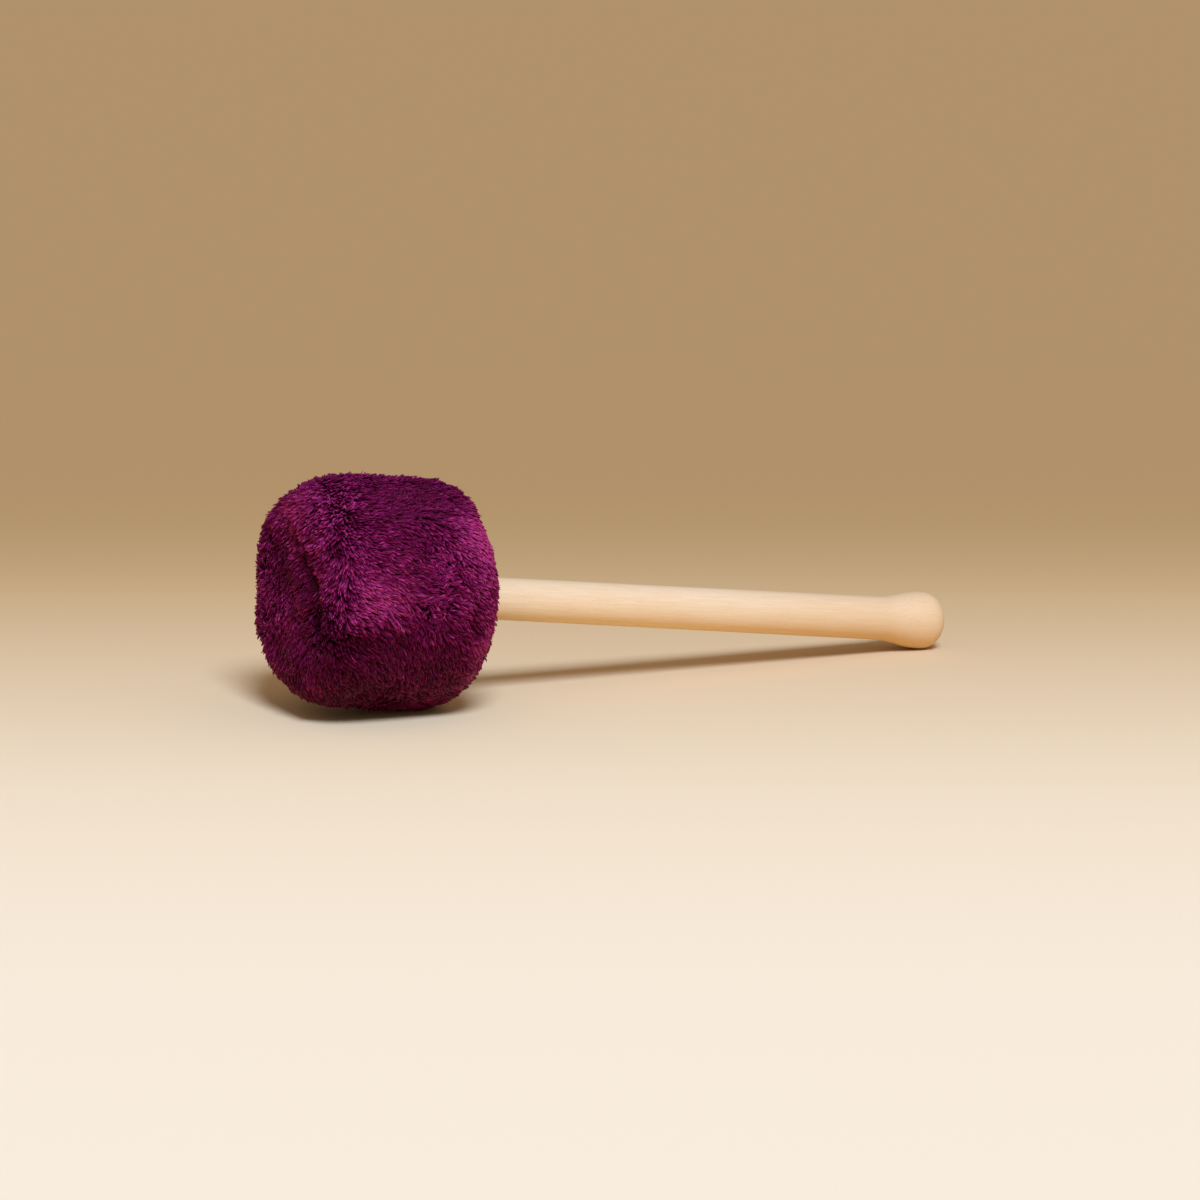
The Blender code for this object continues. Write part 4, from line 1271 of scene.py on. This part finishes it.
@dataclass
class Cover:
    """The sewn cover: three panels of backing cloth with their pile."""

    pile: Pile = field(default_factory=Pile)
    cloth: float = 0.0022
    pressed: float = 0.0012  # the backing's height over the table where the pile is pressed flat
    most_sunk: float = 0.0012  # how far the backing follows the furrow inwards, so that the felt stays hidden
    seam_gap: float = 0.002  # between a panel and its seam, along the head's outline from 0 to 2
    smoothing: float = 0.5
    fill: float = 0.9
    sides: int = 112
    rows_per_metre: int = 480
    least_rows: int = 6
    samples: int = 400  # of the outline, to space the rows

    def panel(self, start: float, end: float) -> bmesh.types.BMesh:
        """Shapes one panel's backing cloth.

        Args:
            start: Where it starts on the head's outline.
            end: Where it ends.

        Returns:
            A closed shell, in the model's frame.
        """
        ts = np.linspace(start, end, self.samples)
        x, radius = HEAD.outline(ts)
        run = np.concatenate([[0], np.cumsum(np.hypot(np.diff(x), np.diff(radius)))])
        rows = max(self.least_rows, round(run[-1] * self.rows_per_metre))
        ts = np.interp(np.linspace(0, run[-1], rows), run, ts)
        bm = bmesh.new()
        corners = [bm.verts.new((x, 0.0, -radius)) for x, radius in zip(*HEAD.outline(ts))]
        edges = [bm.edges.new(pair) for pair in zip(corners, corners[1:])]
        bmesh.ops.spin(
            bm, geom=corners + edges, cent=(0, 0, 0), axis=(1, 0, 0), angle=math.tau, steps=self.sides,
            use_merge=True,
        )
        bmesh.ops.remove_doubles(bm, verts=bm.verts, dist=WELD)
        local = np.array([corner.co for corner in bm.verts])
        bm.transform(AXIS.matrix())
        bmesh.ops.recalc_face_normals(bm, faces=bm.faces)
        bm.normal_update()
        here = np.array([corner.co for corner in bm.verts])
        facing = np.array([corner.normal for corner in bm.verts])
        if (facing * (here - np.array(AXIS.middle))).sum() < 0:
            bmesh.ops.reverse_faces(bm, faces=bm.faces)
            facing = -facing
        spots, _ = HEAD.on_cover(here + SEARCH * facing)
        radius = np.where(local[:, 0] < FURROW.last_x, np.hypot(local[:, 1], local[:, 2]), FAR)
        lift = FURROW.lift(radius, np.arctan2(local[:, 1], -local[:, 2]), spots).clip(-self.most_sunk)
        for corner, spot, way, rise in zip(bm.verts, spots, facing, lift):
            corner.co = spot + (rise - self.pile.depth) * way
            corner.co.z = max(corner.co.z, self.pressed)
        bmesh.ops.smooth_vert(
            bm, verts=[corner for corner in bm.verts if not corner.is_boundary], factor=self.smoothing,
            use_axis_x=True, use_axis_y=True, use_axis_z=True,
        )
        bmesh.ops.solidify(bm, geom=bm.faces[:], thickness=self.cloth)
        bmesh.ops.recalc_face_normals(bm, faces=bm.faces)
        return bm

    def build(self, knit: bpy.types.Material, plush: bpy.types.Material) -> None:
        """Sews the cover.

        Args:
            knit: The backing cloth's material.
            plush: The pile's material.
        """
        gap = self.seam_gap
        spans = (
            ("front_backing", 0.0, HEAD.front_seam - gap),
            ("side_backing", HEAD.front_seam + gap, HEAD.rear_seam - gap),
            ("rear_backing", HEAD.rear_seam + gap, HEAD.neck),
        )
        for (name, start, end), node in zip(spans, HEAD.panels):
            thing = stand(name, self.panel(start, end), knit, [node], Matrix.Identity(4))
        self.pile.build(plush)


# Padding and core

@dataclass
class Padding:
    """What fills the head: rubber sleeve, felt winding, felt discs and rings."""

    hub_front: float = -0.0358
    hub_rear: float = 0.0354
    rubber_inner: float = 0.0243
    rubber_outer: float = 0.0343
    edge: float = 0.0008  # the radius of the sleeve's outer edges
    edge_points: int = 5
    felt_thickness: float = 0.0034
    felt_gap: float = 0.0008
    cover_inset: float = 0.0073  # how far inside the head's outline the padding ends
    disc_thickness: float = 0.0046
    discs: int = 3
    least_radius: float = 0.002  # where a disc's rim stops short of the axis
    least_flat: float = 0.003  # the radius under which a disc has a point and no flat front
    fill: float = 1.0
    sides: int = 112
    steps_per_turn: int = 112
    samples: int = 801  # of half the outline, to find a disc's rim
    rim_step: int = 12  # how many of them lie between two corners of the rim
    face_samples: int = 2001  # of half the outline, to find where a radius lies on it
    bud: float = 0.001  # the size of the felt's section as it is spun, before each step gets its own
    bud_radius: float = 0.01
    bud_corners: tuple[tuple[float, float], ...] = (
        (0, 0), (0.5, 0), (1, 0), (1, 0.2), (1, 0.8), (1, 1), (0.5, 1), (0, 1), (0, 0.8), (0, 0.2),
    )

    def sleeve(self) -> bmesh.types.BMesh:
        """Shapes the rubber sleeve, its outer edges rounded."""
        angles = np.linspace(0, math.pi / 2, self.edge_points)
        arc = [(self.edge * (1 - math.cos(a)), self.edge * (1 - math.sin(a))) for a in angles]
        front = [(self.hub_front + x, self.rubber_outer - r) for x, r in arc]
        rear = [(self.hub_rear - x, self.rubber_outer - r) for x, r in reversed(arc)]
        inner = [(self.hub_rear, self.rubber_inner), (self.hub_front, self.rubber_inner)]
        return turn(front + rear + inner, self.sides, loop=True)

    def face_at(self, radius: float, front: bool) -> float:
        """Returns the x at which the padding's outline has this radius, on its front or rear half."""
        ts = np.linspace(0 if front else 2, 1, self.face_samples)
        x, radii = HEAD.outline(ts, self.cover_inset)
        return float(np.interp(radius, radii, x))

    def winding(self) -> bmesh.types.BMesh:
        """Winds the felt strip from the sleeve outwards: its section is spun, and each step lies a little higher."""
        pitch = self.felt_thickness + self.felt_gap
        inner = self.rubber_outer + FIT
        outer = HEAD.radius - self.cover_inset - FIT
        turns = (outer - self.felt_thickness - inner) / pitch
        steps = round(turns * self.steps_per_turn)
        bm = bmesh.new()
        bm.faces.new(
            [bm.verts.new((self.bud * along, 0, -(self.bud_radius + self.bud * up))) for along, up in self.bud_corners]
        )
        bmesh.ops.spin(
            bm, geom=bm.verts[:] + bm.edges[:] + bm.faces[:], cent=(0, 0, 0), axis=(1, 0, 0),
            angle=math.tau * turns, steps=steps,
        )
        bm.verts.index_update()
        for corner in bm.verts:
            step = corner.index // len(self.bud_corners)
            along = corner.co.x / self.bud
            up = (math.hypot(corner.co.y, corner.co.z) - self.bud_radius) / self.bud
            low = inner + pitch * turns * step / steps
            radius = low + self.felt_thickness * up
            front = max(self.face_at(radius + FIT, True), self.hub_front)
            rear = min(self.face_at(radius + FIT, False), self.hub_rear)
            scale = radius / math.hypot(corner.co.y, corner.co.z)
            corner.co = (front + (rear - front) * along, corner.co.y * scale, corner.co.z * scale)
        bmesh.ops.recalc_face_normals(bm, faces=bm.faces)
        return bm

    def disc(self, front: float, rear: float, bore_radius: float) -> bmesh.types.BMesh:
        """Shapes a felt disc or ring that fills the cover between two planes.

        Args:
            front: The front plane's x.
            rear: The rear plane's x.
            bore_radius: The hole's radius, or 0 for a disc.

        Returns:
            The turned shape.
        """
        half = np.linspace(0, 1, self.samples) + (0 if rear < 0 else 1)
        x, radius = HEAD.outline(half, self.cover_inset)
        keep = (x > front) & (x < rear) & (radius > max(bore_radius, self.least_radius))
        rim = list(zip(x[keep][:: self.rim_step], radius[keep][:: self.rim_step]))
        low = float(np.interp(front, x, radius))
        high = float(np.interp(rear, x, radius))
        if rear < 0:
            start = [(front, 0.0), (front, low)] if low > self.least_flat else [(float(x[0]), 0.0)]
            return turn(start + rim + [(rear, high), (rear, 0.0)], self.sides)
        end = [(rear, high), (rear, bore_radius)] if high > bore_radius else [(rim[-1][0], bore_radius)]
        return turn([(front, bore_radius), (front, low)] + rim + end, self.sides, loop=True)

    def build(self, felt: bpy.types.Material, rubber: bpy.types.Material) -> None:
        """Makes all the padding.

        Args:
            felt: The felt's material.
            rubber: The sleeve's material.
        """
        pieces = [
            stand("moulded_sleeve", self.sleeve(), rubber, ["rubber_sleeve"]),
            stand("wound_felt", self.winding(), felt, ["felt_winding"]),
        ]
        for k in range(self.discs):
            shift = FIT + k * (self.disc_thickness + FIT)
            rear = self.hub_front - shift
            disc = self.disc(rear - self.disc_thickness, rear, 0.0)
            pieces.append(stand(f"felt_disc_{k + 1}", disc, felt, [f"front_felt_disc_{k + 1}"]))
            front = self.hub_rear + shift
            ring = self.disc(front, front + self.disc_thickness, HEAD.neck_radius)
            pieces.append(stand(f"felt_ring_{k + 1}", ring, felt, [f"rear_felt_ring_{k + 1}"]))


@dataclass
class Sewing:
    """The seam threads and the draw cord in the neck hem."""

    thread_radius: float = 0.00045
    thread_inset: float = 0.00655  # of its middle, from the head's outline
    thread_sides: int = 10
    ring_sides: int = 160
    side_seam: float = math.radians(90)  # round the axis, from straight down towards the back
    side_margin: float = 0.03  # between the side seam's ends and the other seams, along the outline from 0 to 2
    side_points: int = 60
    cord_radius: float = 0.0008
    cord_turns: float = 1.25
    cord_pitch: float = 0.0021
    cord_start: float = 0.05258  # along the axis
    cord_sides: int = 12
    cord_steps: int = 120

    def ring(self, t: float) -> bmesh.types.BMesh:
        """Shapes a seam thread that runs full circle at this place of the outline."""
        x, radius = HEAD.outline(np.array([t]), self.thread_inset)
        section = [
            (float(x[0]) + self.thread_radius * math.cos(a), float(radius[0]) + self.thread_radius * math.sin(a))
            for a in np.linspace(0, math.tau, self.thread_sides, endpoint=False)
        ]
        return turn(section, self.ring_sides, loop=True)

    def around(self, x: float, radius: float, angle: float) -> Vector:
        """Returns a point at this angle round the axis, counted from straight down towards the back."""
        return Vector((x, radius * math.sin(angle), -radius * math.cos(angle)))

    def build(self, cotton: bpy.types.Material) -> None:
        """Makes the threads and the cord.

        Args:
            cotton: Their material.
        """
        ends = HEAD.front_seam + self.side_margin, HEAD.rear_seam - self.side_margin
        xs, radii = HEAD.outline(np.linspace(*ends, self.side_points), self.thread_inset)
        seam = [self.around(float(x), float(radius), self.side_seam) for x, radius in zip(xs, radii)]
        turns = [self.cord_turns * i / self.cord_steps for i in range(self.cord_steps + 1)]
        radius = HEAD.neck_radius + self.cord_radius
        cord = [self.around(self.cord_start + self.cord_pitch * done, radius, math.tau * done) for done in turns]
        pieces = (
            ("front_stitching", self.ring(HEAD.front_seam), "front_seam_thread"),
            ("rear_stitching", self.ring(HEAD.rear_seam), "rear_seam_thread"),
            ("side_stitching", tube(seam, self.thread_radius, self.thread_sides), "side_seam_thread"),
            ("draw_cord", tube(cord, self.cord_radius, self.cord_sides), "neck_drawcord"),
        )
        for name, mesh, node in pieces:
            stand(name, mesh, cotton, [node])


@dataclass
class Core:
    """The hub and its fittings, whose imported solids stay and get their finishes."""

    wooden: tuple[str, ...] = ("core_hub",)
    plated: tuple[str, ...] = ("hub_screw", "hub_washer", "lock_pin")

    def dress(self, wood: bpy.types.Material, steel: bpy.types.Material) -> None:
        """Dresses the hub, the screw, the washer and the pin.

        Args:
            wood: The hub's material.
            steel: The fittings' material.
        """
        for names, material in ((self.wooden, wood), (self.plated, steel)):
            for name in names:
                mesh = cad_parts[name].data
                mesh.materials.clear()
                mesh.materials.append(material)
                LOG.info("%s dressed", name)


# Studio

@dataclass(frozen=True)
class Softbox:
    """A large softbox far off, which lights all of the floor evenly."""

    name: str
    way: tuple[float, float, float]  # from the mallet to the lamp
    spread: float  # how wide it looks from the mallet, as an angle
    strength: float  # its watts on each square metre that faces it
    colour: str

    def hang(self) -> None:
        """Hangs the lamp in the scene."""
        light = bpy.data.lights.new(self.name, "SUN")
        light.angle = self.spread
        light.energy = self.strength
        light.color = linear(self.colour)[:3]
        lamp = appear(self.name, light)
        lamp.location = self.way
        lamp.rotation_euler = (-Vector(self.way)).to_track_quat("-Z", "Y").to_euler()


@dataclass(frozen=True)
class Studio:
    """Floor, lamps and camera."""

    azimuth: float = math.radians(-30.56)
    elevation: float = math.radians(10.14)
    camera_place: tuple[float, float, float] = (-1.3833, -2.3142, 0.5330)
    lens_mm: float = 135.0
    sensor_mm: float = 36.0
    clip: tuple[float, float] = (0.01, 100.0)  # the nearest and farthest that the camera sees
    floor_size: float = 40.0
    floor_stops: tuple[tuple[float, str], ...] = (  # distance ahead of the camera, and the paper's colour there, darkening towards the back as painted shade where the light falls off
        (1.630, "#F9EEE1"),
        (2.010, "#F8ECDD"),
        (2.358, "#F2E3CF"),
        (2.634, "#E4CEB4"),
        (2.961, "#C9AE8A"),
        (3.224, "#B3956C"),
        (3.477, "#AE8F69"),
        (4.271, "#AE906A"),
    )
    bounce: tuple[float, float, float, float] = (1.24, 1.02, 0.55, 1.0)
    lamps: tuple[Softbox, ...] = (
        Softbox("softbox", (-0.287, -0.882, 1.00), math.radians(20), 3.45, "#E2F2FF"),
        Softbox("large_reflector", (-0.20, -0.55, 1.00), math.radians(90), 0.40, "#FFDDB4"),
    )
    fill: str = "#FFDDB4"
    fill_strength: float = 0.29
    wall: str = "#AD8E68"

    def right(self) -> np.ndarray:
        """Returns the direction to the right, as the camera sees it."""
        return np.array((math.cos(self.azimuth), math.sin(self.azimuth), 0.0))

    def paper(self) -> bpy.types.Material:
        """Builds the floor's material: matt painted paper, pale in front and darkening to tan towards the back, the
        darkening being painted shade where the light falls off.
        """
        paper, shader = new_material("matt_background_paper", Roughness=0.9, Specular_IOR_Level=0.15)
        place = add(paper, "ShaderNodeTexCoord").outputs["Object"]
        x, y, _ = self.camera_place
        from_camera = add(
            paper, "ShaderNodeMapping", {"Location": (-x, -y, 0.0)}, {"Vector": place}, vector_type="POINT"
        ).outputs["Vector"]
        way = (-math.sin(self.azimuth), math.cos(self.azimuth), 0.0)
        ahead = add(
            paper, "ShaderNodeVectorMath", {1: way}, {0: from_camera}, operation="DOT_PRODUCT"
        ).outputs["Value"]
        near, far = self.floor_stops[0][0], self.floor_stops[-1][0]
        share = add(
            paper, "ShaderNodeMapRange", {"From Min": near, "From Max": far}, {"Value": ahead}
        ).outputs["Result"]
        ramp = add(paper, "ShaderNodeValToRGB", links={"Fac": share})
        set_stops(ramp, [((stop - near) / (far - near), colour) for stop, colour in self.floor_stops])
        ramp.color_ramp.interpolation = "B_SPLINE"
        # The paper throws a deeper tan back at the mallet than the lens sees in its front, which the light washes out.
        bounced = add(paper, "ShaderNodeLightPath").outputs["Is Diffuse Ray"]
        seen = add(
            paper, "ShaderNodeMix", {7: self.bounce}, {0: bounced, 6: ramp.outputs["Color"]},
            data_type="RGBA", blend_type="MULTIPLY",
        ).outputs[2]
        join(paper, shader, Base_Color=seen)
        return paper

    def floor(self) -> None:
        """Lays the floor."""
        bm = bmesh.new()
        bmesh.ops.create_grid(bm, x_segments=8, y_segments=8, size=self.floor_size / 2)
        mesh = bpy.data.meshes.new("floor")
        bm.to_mesh(mesh)
        bm.free()
        mesh.materials.append(self.paper())
        appear("floor", mesh)

    def world(self) -> None:
        """Fills the room with soft light. The lens, gloss and glass see the wall instead."""
        world = bpy.data.worlds.new("studio")
        bpy.context.scene.world = world
        world.use_nodes = True
        world.node_tree.nodes.clear()
        fill = add(world, "ShaderNodeBackground", {"Color": linear(self.fill), "Strength": self.fill_strength})
        wall = add(world, "ShaderNodeBackground", {"Color": linear(self.wall), "Strength": 1.0})
        rays = add(world, "ShaderNodeLightPath").outputs
        seen = rays["Is Camera Ray"]
        for ray in ("Is Glossy Ray", "Is Transmission Ray"):
            seen = add(world, "ShaderNodeMath", links={0: seen, 1: rays[ray]}, operation="MAXIMUM").outputs[0]
        both = add(world, "ShaderNodeMixShader", links={0: seen, 1: fill.outputs[0], 2: wall.outputs[0]})
        add(world, "ShaderNodeOutputWorld", links={"Surface": both.outputs[0]})

    def camera(self) -> None:
        """Sets up the camera."""
        camera = bpy.data.cameras.new("camera")
        camera.lens = self.lens_mm
        camera.sensor_width = self.sensor_mm
        camera.clip_start, camera.clip_end = self.clip
        viewer = appear("camera", camera)
        viewer.location = self.camera_place
        viewer.rotation_euler = (math.pi / 2 - self.elevation, 0.0, self.azimuth)
        bpy.context.scene.camera = viewer
        bpy.context.scene.view_settings.view_transform = "Standard"

    def build(self) -> None:
        """Sets up the floor, the lamps, the world and the camera."""
        self.floor()
        for lamp in self.lamps:
            lamp.hang()
        self.world()
        self.camera()


STUDIO = Studio()


def main() -> None:
    """Dresses the mallet piece by piece and sets up the studio."""
    logging.basicConfig(level=logging.INFO, format="%(name)s: %(message)s")
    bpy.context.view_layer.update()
    wood = Beech().material()
    Handle().build(wood)
    Core().dress(wood, Zinc().material())
    Padding().build(Felt().material(), Rubber().material())
    Sewing().build(Cotton().material())
    Cover().build(Knit().material(), Plush().material())
    STUDIO.build()
    bpy.context.view_layer.update()


if __name__ == "__main__":
    main()
